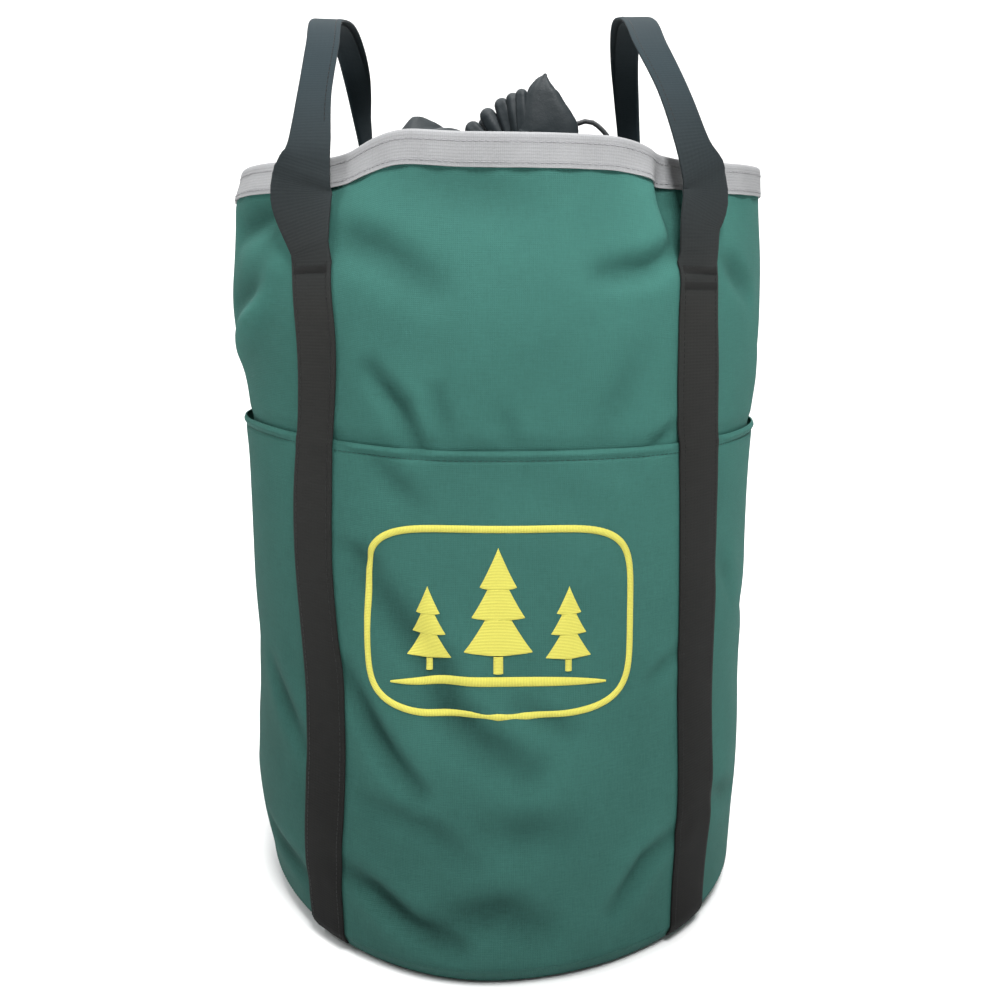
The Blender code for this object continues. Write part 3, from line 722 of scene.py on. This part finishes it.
def bag_stitches():
    hem = ring_row(pocket_radius, lambda a: pocket_top(a) - 0.0058, 0.00005)
    foot = ring_row(pocket_radius, lambda a: 0 * a + 0.0140, 0.0)
    made = stitches("pocket_hem_stitches", [hem, foot], GREEN_THREAD)
    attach(made, "bag")
    rows = []
    low, high = TAPE_HEIGHT - 0.0026, 0.0052
    for below, way in ((low, 1), (high, 1), (low, -1)):
        rows.append(ring_row(lambda a, z: tape_radius(a, z) + way * (TAPE_OUTSIDE + tape_ripple(a, below)),
                             lambda a: rim_height(a) - below, 0.00012 * way))
    made = stitches("rim_binding_stitches", rows, GREY_THREAD)
    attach(made, "bag")


# ---- straps and handles: one length of webbing on each side of the bag ----
# x, y, z, direction of its width in degrees from +X, and the width that shows once its edge is folded under.
LEFT_WEBBING = (
    (-0.1188, -0.1395, 0.484, -22, 0.0395),
    (-0.1156, -0.1402, 0.499, -18, 0.0315),
    (-0.1124, -0.1395, 0.512, -12, 0.0250),
    (-0.1108, -0.1230, 0.541, -6, 0.0195),
    (-0.1085, -0.0930, 0.574, 0, 0.0192),
    (-0.1100, -0.0520, 0.5975, 4, 0.0195),
    (-0.1065, 0.0059, 0.6075, 4, 0.0200),
    (-0.1022, 0.0600, 0.5985, 20, 0.0200),
    (-0.0985, 0.1000, 0.5735, 52, 0.0195),
    (-0.0962, 0.1270, 0.541, 70, 0.0205),
    (-0.0990, 0.1450, 0.512, 62, 0.0300),
    (-0.1050, 0.1480, 0.486, 44, 0.0360),
)
RIGHT_WEBBING = (
    (0.1112, -0.1472, 0.470, 37.5, 0.0355),
    (0.1140, -0.1435, 0.489, 34, 0.0385),
    (0.1044, -0.1440, 0.513, 24, 0.0252),
    (0.0966, -0.1310, 0.541, 12, 0.0200),
    (0.0884, -0.1000, 0.5740, 2, 0.0200),
    (0.0892, -0.0570, 0.5990, -4, 0.0205),
    (0.0905, -0.0020, 0.6100, -6, 0.0205),
    (0.0985, 0.0530, 0.600, -18, 0.0200),
    (0.1080, 0.0950, 0.573, -34, 0.0195),
    (0.1155, 0.1190, 0.541, -42, 0.0205),
    (0.1200, 0.1330, 0.512, -42, 0.0310),
    (0.1225, 0.1360, 0.486, -42, 0.0360),
)
# The line each sewn strap follows: (height, azimuth).
LEFT_FRONT_LINE = (
    (0.0065, -43.0), (0.065, -42.3), (0.10, -40.4), (0.17, -39.6), (0.21, -40.9), (0.25, -42.4), (0.31, -42.0),
    (0.345, -40.6), (0.375, -38.4), (0.41, -37.0), (0.455, -38.3),
)
RIGHT_FRONT_LINE = (
    (0.0065, 43.2), (0.065, 42.6), (0.10, 42.4), (0.14, 42.6), (0.20, 41.6), (0.25, 41.8), (0.31, 40.8),
    (0.345, 39.4), (0.375, 38.0), (0.41, 36.9), (0.455, 37.2),
)
LEFT_BACK_LINE = ((0.0065, -143.8), (0.15, -142.0), (0.30, -143.6), (0.455, -143.0))
RIGHT_BACK_LINE = ((0.0065, 138.2), (0.15, 136.4), (0.30, 137.8), (0.455, 137.0))
BEND_R = 0.00108                # where the webbing's edge turns under itself
COLUMNS = np.concatenate([[0, 0.018], np.linspace(0.05, 0.95, 37), [0.982, 1]])     # across the webbing
MIDDLE = 20                     # the column in the middle, and those with a row of stitches
SEWN_COLUMNS = (4, 36)
BAR_TACKS = {"left": (0.4500,), "right": (0.4500, 0.4365)}
GRIP_Z = 0.522                  # above it the folded webbing is stitched


def through_points(points, step):
    """A smooth curve through points that may carry more values than x, y and z."""
    knots = np.array([2 * np.array(points[0]) - points[1], *points, 2 * np.array(points[-1]) - points[-2]])
    line = []
    for before, here, there, after in zip(knots[:-3], knots[1:-2], knots[2:-1], knots[3:]):
        count = max(1, round(np.linalg.norm((there - here)[:3]) / step))
        t = (np.arange(count) / count)[:, None]
        line.append(0.5 * (2 * here + (there - before) * t + (2 * before - 5 * here + 4 * there - after) * t * t
                           + (3 * here - before - 3 * there + after) * t ** 3))
    return np.concatenate(line + [knots[-2:-1]])


def surface_radius(azimuth, z):
    """The outermost canvas under a strap, with the bulge of the pocket's hem."""
    hem = 0.0006 * bell(z - pocket_top(azimuth) + 0.003, 0.004)
    return skin_radius(azimuth, z) + relief(azimuth, z) + hem


def sewn_webbing(line, way, wide, narrow=0, above=0.3):
    """Centre and normal grids of webbing sewn down the bag, from the base up, narrower above some height."""
    z = np.arange(0.0068, BAR_TACK_Z - 0.003, 0.0045)
    heights, azimuths = np.array(line).T
    middle = np.interp(z, heights, azimuths)
    middle = np.convolve(np.pad(middle, 6, mode="edge"), np.ones(13) / 13, "valid")
    settle = smooth((z - 0.40) / 0.05)
    middle = middle * (1 - settle) + azimuths[-1] * settle
    width = wide - narrow * smooth((z - above) / 0.06)
    middle, width, z = middle[:, None], width[:, None], z[:, None]
    across = middle + way * np.degrees(width * (COLUMNS - 0.5) / BAG_R)
    bed, own = surface_radius(middle, z), surface_radius(across, z)
    r = np.maximum(own, 0.5 * (own + bed)) + 0.0004 + WEBBING / 2
    return at(across, r, z), at(across, 1.0, 0 * z)


def free_webbing(points, front, back, fold, foot_width):
    """Centre and normal grids of the free webbing, the line it follows, and each point's share of its width.
    fold is the side of its width that turns under."""
    def foot(azimuth, turn, width):
        r = float(surface_radius(np.array(azimuth), np.array(BAR_TACK_Z))) + 0.0030
        return (*at(azimuth, r, BAR_TACK_Z).tolist(), turn, width)

    knots = [foot(front, front, foot_width), *points]
    knots.append(foot(back, back - math.copysign(180, back), SEWN_WIDTH))
    line = through_points(knots, 0.0036)
    ahead = np.vstack([line[1:, :3], 2 * line[-1:, :3] - line[-2:-1, :3]])
    behind = np.vstack([2 * line[:1, :3] - line[1:2, :3], line[:-1, :3]])
    along = unit(ahead - behind)
    turn = np.radians(line[:, 3])
    side = together(np.cos(turn), np.sin(turn), 0 * turn)
    side = unit(side - along * np.sum(side * along, -1, keepdims=True))
    out = unit(np.cross(side, along))
    width = line[:, 4]
    full = width + (np.maximum(WEBBING_WIDTH, width) - width) * smooth((line[:, 2] - BAR_TACK_Z - 0.02) / 0.02)
    under = np.clip(full + BEND_R - width, 0, None) * smooth((line[:, 2] - BAR_TACK_Z - 0.018) / 0.038)
    flat = full - under
    tucked = np.clip(under - math.pi * BEND_R, 0, None)
    share = 1 - COLUMNS if fold < 0 else COLUMNS
    # 0.6 of the columns lie on the flat part, and the others on the bend and the part tucked under
    run = []
    for whole, straight, hidden, end in zip(full, flat, tucked, 1 - 0.2 * smooth(tucked / 0.004)):
        run.append(np.interp(share, (0, 0.6, end, 1), (0, straight, whole - hidden, whole)))
    folded = smooth(under / (0.8 * BEND_R))[:, None]
    run = full[:, None] * share * (1 - folded) + np.array(run) * folded
    into = np.clip(run - flat[:, None], 0, None)
    angle = np.clip(into / BEND_R, 0, math.pi)
    beyond = np.clip(into - math.pi * BEND_R, 0, None)
    x = np.minimum(run, flat[:, None]) + BEND_R * np.sin(angle) - beyond
    drop = BEND_R * (1 - np.cos(angle))
    rise = WEBBING / 2 + 2 * BEND_R * smooth(under / (math.pi * BEND_R))
    reach = x.max(axis=1, keepdims=True)
    x = (x - reach / 2) * fold
    fade = np.clip(1 - (line[:, 2] - BAR_TACK_Z) / 0.085, 0, 1)[:, None]
    height = rise[:, None] - drop - (x ** 2) / (2 * BAG_R) * fade
    rng = np.random.default_rng(int(1000 * abs(points[0][0])))
    wobble = 0.0005 * np.sin(np.arange(len(line)) * 0.21 + rng.uniform(0, 6))[:, None] * (1 - fade)
    centre = line[:, None, :3] + side[:, None] * x[..., None] + out[:, None] * (height + wobble)[..., None]
    normal = out[:, None] * np.cos(angle)[..., None] + side[:, None] * (fold * np.sin(angle))[..., None]
    across = run / full[:, None] if fold > 0 else 1 - run / full[:, None]
    return centre, unit(normal), line, across


def webbing_loop(side, points, lines, fold, wide, narrow, above):
    """The front strap, the handle and the back strap: one length of webbing, with its stitches."""
    front, front_normal = sewn_webbing(lines[0], 1, wide, narrow, above)
    back, back_normal = sewn_webbing(lines[1], -1, SEWN_WIDTH)
    ends = [line[-1][1] for line in lines]
    free, free_normal, line, across = free_webbing(points, *ends, fold, wide - narrow)
    centre = np.concatenate([front, free, back[::-1]])
    normal = np.concatenate([front_normal, free_normal, back_normal[::-1]])
    edge = np.minimum(COLUMNS, 1 - COLUMNS)
    half = WEBBING / 2 * (0.62 + 0.38 * smooth(edge / 0.045))[None, :, None]
    across = np.concatenate([np.tile(COLUMNS, (len(front), 1)), across, np.tile(COLUMNS, (len(back), 1))])
    cloth = together(across * WEBBING_WIDTH, reaches(centre[:, MIDDLE])[:, None])
    made = shell(f"{side}_webbing_loop", centre + normal * half, centre - normal * half, cloth, STRAP_LOOK,
                 wrap=False)
    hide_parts(f"front_{side}_strap", f"back_{side}_strap", f"{side}_handle")
    rows = []
    for grid, ups in ((front, front_normal), (back, back_normal)):
        for column in SEWN_COLUMNS:
            rows.append(row_along(grid[:, column] + ups[:, column] * (WEBBING / 2), ups[:, column],
                                  STITCH_PITCH, 0.0026, 0.0003))
        for height in BAR_TACKS[side]:
            row = min(int(np.argmin(np.abs(grid[:, MIDDLE, 2] - height))), len(grid) - 2)
            columns, index = np.linspace(3, 37, 33), np.arange(len(COLUMNS))
            places, normals = between(columns, index, grid[row]), unit(between(columns, index, ups[row]))
            up = np.tile(unit(grid[row + 1, MIDDLE] - grid[row - 1, MIDDLE]), (len(columns), 1))
            rows.append((places + normals * WEBBING / 2, up, normals, 0.0048, 0.00042))
    grip, column = line[:, 2] > GRIP_Z, SEWN_COLUMNS[fold < 0]
    rows.append(row_along((free + free_normal * WEBBING / 2)[grip, column], free_normal[grip, column],
                          0.0036, 0.0027, 0.0003))
    sewing = stitches(f"{side}_webbing_stitches", rows, BLACK_THREAD)
    for piece in (made, sewing):
        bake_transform(piece)


# ---- collar ----
HUMP = (-0.055, -0.112, 0.0465)          # a fold that stands up: place and height
HUMP_SIZE = (0.033, 0.052, 0.020)        # to the left, to the right, to the front and back
MOUTH_AT = Vector((-0.0047, -0.0899, 0))
MOUTH_TURN = math.radians(-3)
MOUTH_FACE = Vector((math.cos(MOUTH_TURN), math.sin(MOUTH_TURN), 0))
MOUTH_BACK = Vector((-math.sin(MOUTH_TURN), math.cos(MOUTH_TURN), 0))


def collar_skirt():
    t = np.concatenate([np.linspace(0, 0.1, 8)[:-1], np.linspace(0.1, 1, 84)])[:, None]
    hem = at(AZIMUTHS, wall_radius(AZIMUTHS, 0 * AZIMUTHS + HEM_Z) - CANVAS - 0.0006, HEM_Z)
    around = np.arctan2(hem[:, 1] - NECK.y, hem[:, 0] - NECK.x)
    neck = np.array(NECK) + together(np.cos(around), np.sin(around), 0 * around) * NECK_R
    points = hem + (neck - hem) * t[..., None]
    z = HEM_Z + (NECK.z - HEM_Z) * smooth(t ** 1.6)
    z = z + 0.0018 * np.sin(9 * around)[None] * np.sin(math.pi * t) * t
    off = (points[..., 0] - HUMP[0], points[..., 1] - HUMP[1])
    wide = np.where(off[0] < 0, HUMP_SIZE[0], HUMP_SIZE[1])
    hump = bell(np.abs(off[0]), wide, 1.4) * bell(off[1], HUMP_SIZE[2])
    z = z + HUMP[2] * hump * smooth(6 * t)
    phase = 27 * around + 2.2 * np.sin(3 * around + 1) + 1.1 * np.sin(7 * t)
    deep = 0.0052 * smooth(t / 0.5) * (1 - 0.55 * smooth((t - 0.7) / 0.3)) + 0.0008
    z = z - deep * (0.5 - 0.5 * np.cos(phase)) ** 1.5
    fine = 61 * around - 3 * np.sin(4 * around) + 2 * np.sin(9 * t + around)
    z = z - 0.0009 * np.sin(math.pi * t) * (0.5 + 0.5 * np.sin(fine))
    points[..., 2] = z
    made = shell("collar_cloth", points, points - (0, 0, 0.0008), round_cloth(t[:, 0] * 0.16), NYLON_LOOK)
    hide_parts("collar_skirt")
    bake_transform(made)


def mouth_point(along, deep, height):
    return MOUTH_AT + MOUTH_FACE * along + MOUTH_BACK * deep + Vector((0, 0, height))


# The pleats of the gathered mouth, front ones first. Each is a line from the neck to the pleat's tip, as
# (along the face, depth, height, half width, half thickness) in millimetres.
PLEATS = (
    ("front", (26.2, -7.5, 509.5, 9.5, 2.8), (30, -10, 518, 15.5, 3.4), (31.2, -11.2, 522.5, 17.4, 3.4),
     (31.9, -11.8, 526.8, 18.4, 3.2), (30.8, -12, 533, 16.3, 3), (29.4, -11.8, 540, 13.4, 2.8),
     (28.2, -11, 549, 9.6, 2.6), (28.3, -10.4, 553, 7.1, 2.4), (28.8, -10, 556, 4.6, 2),
     (29.8, -9.4, 559.2, 1.3, 1.4)),
    ("fourth", (20, -6, 510, 6, 3.4), (18, -9, 524, 5.2, 4), (16.5, -9, 538, 4.5, 4),
     (15.7, -8, 548.3, 3.8, 3.4)),
    ("third", (18.5, -4, 510, 6, 3.4), (15.5, -6.5, 523, 5.2, 4.2), (12.2, -6.5, 536.5, 4.8, 4.2),
     (10.4, -5.5, 546, 4.3, 3.8)),
    ("second", (16.5, -1.5, 510, 6, 3.4), (12.2, -3.5, 521.5, 5.6, 4.4), (7, -3.5, 534.5, 5.2, 4.4),
     (3.8, -2.5, 543.2, 4.7, 4.2)),
    ("first", (14.5, 1, 510, 6, 3.4), (7, -0.5, 519, 6, 4.4), (-0.5, -0.5, 530.5, 5.6, 4.6),
     (-4.9, 0.5, 537.6, 5, 4.4)),
    ("low", (11, 2, 509.5, 5.5, 3.4), (0, 2, 514.5, 6, 4.4), (-9, 2.5, 524, 5.8, 4.6),
     (-14, 3, 530, 5.2, 4.4)),
    ("inner", (28, -2, 509.5, 11, 3.4), (30, -4.5, 521, 16.5, 4.4), (30, -5, 533, 14, 4),
     (29, -4.5, 546, 8, 3.4), (29.2, -3.5, 550, 4, 2.4)),
    ("right", (26, 5, 509.5, 11, 3.4), (31, 4.5, 520.5, 15, 4.6), (31, 4.5, 531, 13, 4.2),
     (28.5, 5, 545, 6.5, 3.6)),
    ("back_right", (23, 9.5, 509.5, 10, 3.4), (27, 11, 520, 13, 4.4), (27, 12, 530, 11, 4),
     (25, 12, 541, 6, 3.4)),
    ("back_middle", (14, 9, 509.5, 8, 3.4), (11, 11, 520, 8.5, 4.6), (9, 12, 531, 7.5, 4.2),
     (8, 12, 543, 5, 3.6)),
    ("back_left", (9, 7, 509.5, 8, 3.4), (2, 8.5, 518.5, 8, 4.4), (-3, 9.5, 527, 7, 4.2),
     (-6, 10, 534, 5, 3.6)),
)


def collar_mouth():
    """Each pleat is a folded tongue of cloth, crowned on both sides, with creases that run to the neck."""
    turns = np.linspace(0, 2 * math.pi, 29)[:-1]
    first = None
    for number, (name, *points) in enumerate(PLEATS):
        line = through_points(np.array(points) / 1000, 0.0011)
        tip, size, ahead = line[-1, :3], line[-1, 3:], unit(line[-1, :3] - line[-3, :3])
        for share in (0.25, 0.5, 0.7, 0.85, 0.95, 0.99):
            line = np.vstack([line, [*(tip + ahead * share * size[0]), *(size * math.sqrt(1 - share ** 2))]])
        way = unit(np.gradient(line[:, :3], axis=0))
        across = unit(together(way[:, 2], 0 * way[:, 0], -way[:, 0]))
        rows = np.linspace(0, 1, len(line))[:, None]
        wrinkle = 0.00045 * np.sin(5 * turns + 2.4 * number) * np.sin(math.pi * rows) ** 0.5
        wide = line[:, 3:4] * rounded(np.cos(turns), 0.8)
        deep = (line[:, 4:5] + wrinkle) * rounded(np.sin(turns), 0.9)
        local = line[:, None, :3] + across[:, None] * wide[..., None] + np.array((0, 1, 0)) * deep[..., None]
        world = np.array(MOUTH_AT) + local @ np.array((MOUTH_FACE, MOUTH_BACK, (0, 0, 1)))
        flat = np.append(turns, 2 * math.pi) * 0.006
        cloth = together(flat, reaches(line[:, :3])[:, None])
        made = tube(f"collar_pleat_{name}", world, cloth, NYLON_LOOK)
        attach(made, "collar")
        first = first or made
    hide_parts("collar_ruffle")


# ---- drawcord ----
COIL_RADII = (0.0196, 0.0165, 0.0134)
COIL_HEIGHTS = (-0.0030, 0.0, 0.0030)
CORD_LINE = (
    mouth_point(0.0462, -0.0002, 0.5318),
    mouth_point(0.0512, 0.0, 0.5333),
    mouth_point(0.0550, 0.0, 0.5345),
    mouth_point(0.0600, 0.0005, 0.5338),
    mouth_point(0.0660, 0.0010, 0.5295),
    mouth_point(0.0712, 0.0020, 0.5230),
    (0.0705, -0.0900, 0.5130), (0.0745, -0.0860, 0.5078), (0.0763, -0.0790, 0.5053), (0.0765, -0.0720, 0.5050),
    (0.0765, -0.0560, 0.5050), (0.0765, -0.0400, 0.5050), (0.0765, -0.0310, 0.5045), (0.0765, -0.0200, 0.5010),
    (0.0765, -0.0080, 0.4960), (0.0765, 0.0020, 0.4942),
)


def coil_points():
    """Nine turns, three beside each other in three layers, then over the top to the knot."""
    stops = [(0.0, 0.0232, 0.0), (0.18, 0.0232, -0.0030), (0.42, COIL_RADII[0], COIL_HEIGHTS[0])]
    turn = 1.0
    order = [(0, 0), (1, 0), (2, 0), (2, 1), (1, 1), (0, 1), (0, 2), (1, 2), (2, 2)]
    for here, there in zip(order, order[1:]):
        if here[1] == there[1]:
            window = (turn, turn + 0.14)
            turn += 1.0
        else:
            window = (turn - 0.5, turn - 0.36)
        stops.append((window[0], COIL_RADII[here[0]], COIL_HEIGHTS[here[1]]))
        stops.append((window[1], COIL_RADII[there[0]], COIL_HEIGHTS[there[1]]))
    end = stops[-1][0] + 0.75
    stops += [(end, COIL_RADII[2], COIL_HEIGHTS[2]), (end + 0.16, 0.0150, 0.0062), (end + 0.30, 0.0205, 0.0062)]
    stops += [(end + 0.42, 0.0236, 0.0030), (end + 0.50, 0.0240, 0.0003)]
    turns, radii, heights = np.array(stops).T
    t = np.arange(0, turns[-1], 1 / 30)
    a = math.pi - 2 * math.pi * t
    r, z = np.interp(t, turns, radii), np.interp(t, turns, heights)
    soft = np.array([1, 2, 3, 2, 1]) / 9
    r, z = (np.convolve(np.pad(v, 2, mode="edge"), soft, "valid") for v in (r, z))
    line = together(r * np.cos(a), r * np.sin(a), z) + np.array(COIL_AT)
    return np.vstack([line, KNOT_AT])


def drawcord():
    route = through_points([tuple(p) for p in CORD_LINE], 0.0036)
    line = np.vstack([route, coil_points()])
    curve = bpy.data.curves.new("drawcord_line", "CURVE")
    curve.dimensions = "3D"
    spline = curve.splines.new("POLY")
    spline.points.add(len(line) - 1)
    spline.points.foreach_set("co", np.hstack([line, np.ones((len(line), 1))]).ravel())
    curve.bevel_depth = CORD_R
    curve.bevel_resolution = 4
    curve.use_fill_caps = True
    curve.materials.append(CORD_LOOK)
    made = placed("drawcord_line", curve)
    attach(made, "collar")
    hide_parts("drawcord", "drawcord_coil")
    return made


def knot():
    """The end knot: the cord through itself twice, pulled up tight."""
    a = np.linspace(0, 2 * math.pi, 97)[:-1]
    reach = 0.0021 + 0.00095 * np.cos(3 * a)
    middle = together(reach * np.cos(2 * a), 0.0016 * np.sin(3 * a), reach * np.sin(2 * a))
    along = unit(np.roll(middle, -1, 0) - np.roll(middle, 1, 0))
    side = unit(np.cross(along, middle + np.array((0, 1e-5, 0))))
    up = np.cross(side, along)
    turns = np.linspace(0, 2 * math.pi, 15)[:-1]
    ring = side[:, None] * np.cos(turns)[None, :, None] + up[:, None] * np.sin(turns)[None, :, None]
    grid = middle[:, None] + ring * 0.00145 + np.array(KNOT_AT)
    rows, columns = grid.shape[:2]
    faces = strip(rows + 1, columns)[0] % (rows * columns)
    made = new_mesh("drawcord_end_knot", grid, faces, np.zeros((faces.size, 2)), CORD_LOOK)
    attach(made, "collar")
    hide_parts("drawcord_knot")
    return made


def cords():
    line, end = drawcord(), knot()
    lock = [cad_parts["cord_lock_body"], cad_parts["cord_lock_plunger"], lock_spring()]


SPRING_WIRE_R = 0.0003
SPRING_TURNS = 3.5


def lock_spring():
    """A coil spring whose end turns lie close together."""
    low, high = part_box("cord_lock_spring")
    middle, radius = (low + high) / 2, (high.y - low.y) / 2 - SPRING_WIRE_R
    length = high.x - low.x - 2 * SPRING_WIRE_R
    t = np.linspace(0, 1, round(SPRING_TURNS * 26) + 1)
    a = 2 * math.pi * SPRING_TURNS * t
    line = together(length * (0.35 * t + 0.65 * smooth(t) - 0.5), radius * np.cos(a), radius * np.sin(a))
    out = together(0 * a, np.cos(a), np.sin(a))
    turns = np.linspace(0, 2 * math.pi, 11)[:-1]
    ring = out[:, None] * np.cos(turns)[None, :, None] + np.array((1, 0, 0)) * np.sin(turns)[None, :, None]
    grid = line[:, None] + ring * SPRING_WIRE_R + np.array(middle)
    made = tube("cord_lock_spring_wire", grid, np.zeros((len(t), 11, 2)), STEEL_LOOK)
    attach(made, "lock")
    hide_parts("cord_lock_spring")
    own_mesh(made)
    return made


def dress_lock():
    for node in ("cord_lock_body", "cord_lock_plunger"):
        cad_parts[node].material_slots[0].material = PLASTIC_LOOK


# ---- embroidered emblem: three conifers in a frame ----
SATIN = 0.0010           # how far the thread stands up


def satin(name, middle, width, closed=False):
    """Satin stitch along a line drawn flat on the cloth: (right, up) points and a width at each."""
    middle, width = np.asarray(middle, float), np.asarray(width, float)
    if closed:
        way = np.roll(middle, -1, 0) - np.roll(middle, 1, 0)
    else:
        way = np.gradient(middle, axis=0)
    across = unit(together(-way[:, 1], way[:, 0]))
    share = np.array([-1, -0.94, -0.75, -0.4, 0, 0.4, 0.75, 0.94, 1])[:, None]
    flat = middle + across * (share * width / 2)[..., None]
    azimuth, z = EMBLEM_AZIMUTH + flat[..., 0] / UNIT, EMBLEM_Z + flat[..., 1]
    bed = pocket_radius(azimuth, z)
    crown = SATIN * (1 - np.abs(share) ** 2.5) * np.minimum(1, width / 0.003) + 0.0002
    outer, inner = at(azimuth, bed + crown, z), at(azimuth, bed - 0.0002 + 0 * crown, z)
    reach = reaches(middle)
    if closed:
        reach = np.append(reach, reach[-1] + np.linalg.norm(middle[0] - middle[-1]))
    cloth = together(reach, share * 0.002)
    made = shell(name, outer, inner, cloth, YELLOW_THREAD, wrap=closed)
    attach(made, "bag")


def conifer(name, x, foot, height):
    t = np.linspace(0, 1, 34)
    for tier, low, high, wide, top in (
        ("low", 0.15, 0.47, 0.58, 0.16), ("middle", 0.43, 0.72, 0.45, 0.12), ("high", 0.67, 1.0, 0.32, 0.0),
    ):
        spread = wide + (top - wide) * t ** 0.85
        width = height * np.maximum(spread * smooth((t + 0.05) / 0.12), 0.006)
        rise = foot + height * (low + (high - low) * t)
        satin(f"emblem_{name}_{tier}", together(x + 0 * t, rise), width)
    satin(f"emblem_{name}_trunk", together(x + 0 * t, foot + height * 0.14 * t), 0 * t + 0.075 * height)


def emblem():
    a = np.linspace(0, 2 * math.pi, 241)[:-1]
    outline = together(0.0820 * rounded(np.cos(a), 0.42), 0.0570 * rounded(np.sin(a), 0.42))
    satin("emblem_frame", outline, 0.0042 + 0 * a, closed=True)
    conifer("centre_tree", 0.0, -0.030, 0.076)
    conifer("left_tree", -0.0420, -0.030, 0.052)
    conifer("right_tree", 0.0420, -0.030, 0.052)
    t = np.linspace(-1, 1, 80)
    ground = together(0.066 * t, -0.0390 + 0.004 * (1 - t * t))
    satin("emblem_ground", ground, 0.0012 + 0.0046 * (1 - t ** 4))


# ---- floor, light and camera ----
def stage():
    look, tree, shader = nodes_of("pale_floor", 0.9)
    shade(tree, shader, (0.86, 0.86, 0.86), [(noise(tree, object_place(tree), 3, 2), 0.01)])
    turn = np.linspace(0, math.pi / 2, 16)
    profile = [(-3.0, 0.0), (1.2, 0.0)]
    profile += [(1.2 + 1.0 * math.sin(a), 1.0 - 1.0 * math.cos(a)) for a in turn[1:]] + [(2.2, 4.0)]
    points = [(x, y, z - 0.0001) for y, z in profile for x in (-4.0, 4.0)]
    faces = [(2 * i, 2 * i + 1, 2 * i + 3, 2 * i + 2) for i in range(len(profile) - 1)]
    floor = new_mesh("floor", points, faces, np.zeros((len(faces) * 4, 2)), look)

    world = bpy.data.worlds.new("studio")
    world.use_nodes = True
    background = world.node_tree.nodes["Background"]
    background.inputs["Color"].default_value = (1.0, 1.0, 1.0, 1)
    background.inputs["Strength"].default_value = 0.27
    bpy.context.scene.world = world
    bag = (0, 0, 0.28)
    for name, place, target, size, power in (
        ("key", (0.16, -1.00, 1.62), bag, 0.5, 35),
        ("fill", (-1.4, -0.7, 1.9), bag, 0.9, 17),
        ("back", (0.0, 1.7, 2.3), bag, 2.2, 30),
        ("backdrop", (0.0, 0.5, 2.7), (0, 2.2, 1.1), 2.4, 75),
    ):
        light = bpy.data.lights.new(name, "AREA")
        light.size, light.energy = size, power
        lamp = placed(name, light)
        lamp.location = place
        lamp.rotation_euler = (Vector(target) - Vector(place)).to_track_quat("-Z", "Y").to_euler()


def camera():
    data = bpy.data.cameras.new("camera")
    data.lens, data.sensor_width = 36.65, 36.0
    data.dof.use_dof = False
    made = placed("camera", data)
    made.location = (-0.0393, -0.7503, 0.4253)
    made.rotation_euler = (math.radians(78.97), 0, math.radians(-3.225))
    bpy.context.scene.camera = made


bpy.context.scene.view_settings.view_transform = "Standard"
camera()
stage()
dress_lock()
cords()
side_wall()
pocket_wrap()
base()
rim_tape()
bag_stitches()
webbing_loop("left", LEFT_WEBBING, (LEFT_FRONT_LINE, LEFT_BACK_LINE), -1, SEWN_WIDTH, 0.0045, 0.30)
webbing_loop("right", RIGHT_WEBBING, (RIGHT_FRONT_LINE, RIGHT_BACK_LINE), 1, WEBBING_WIDTH, 0.0035, 0.36)
collar_skirt()
collar_mouth()
emblem()
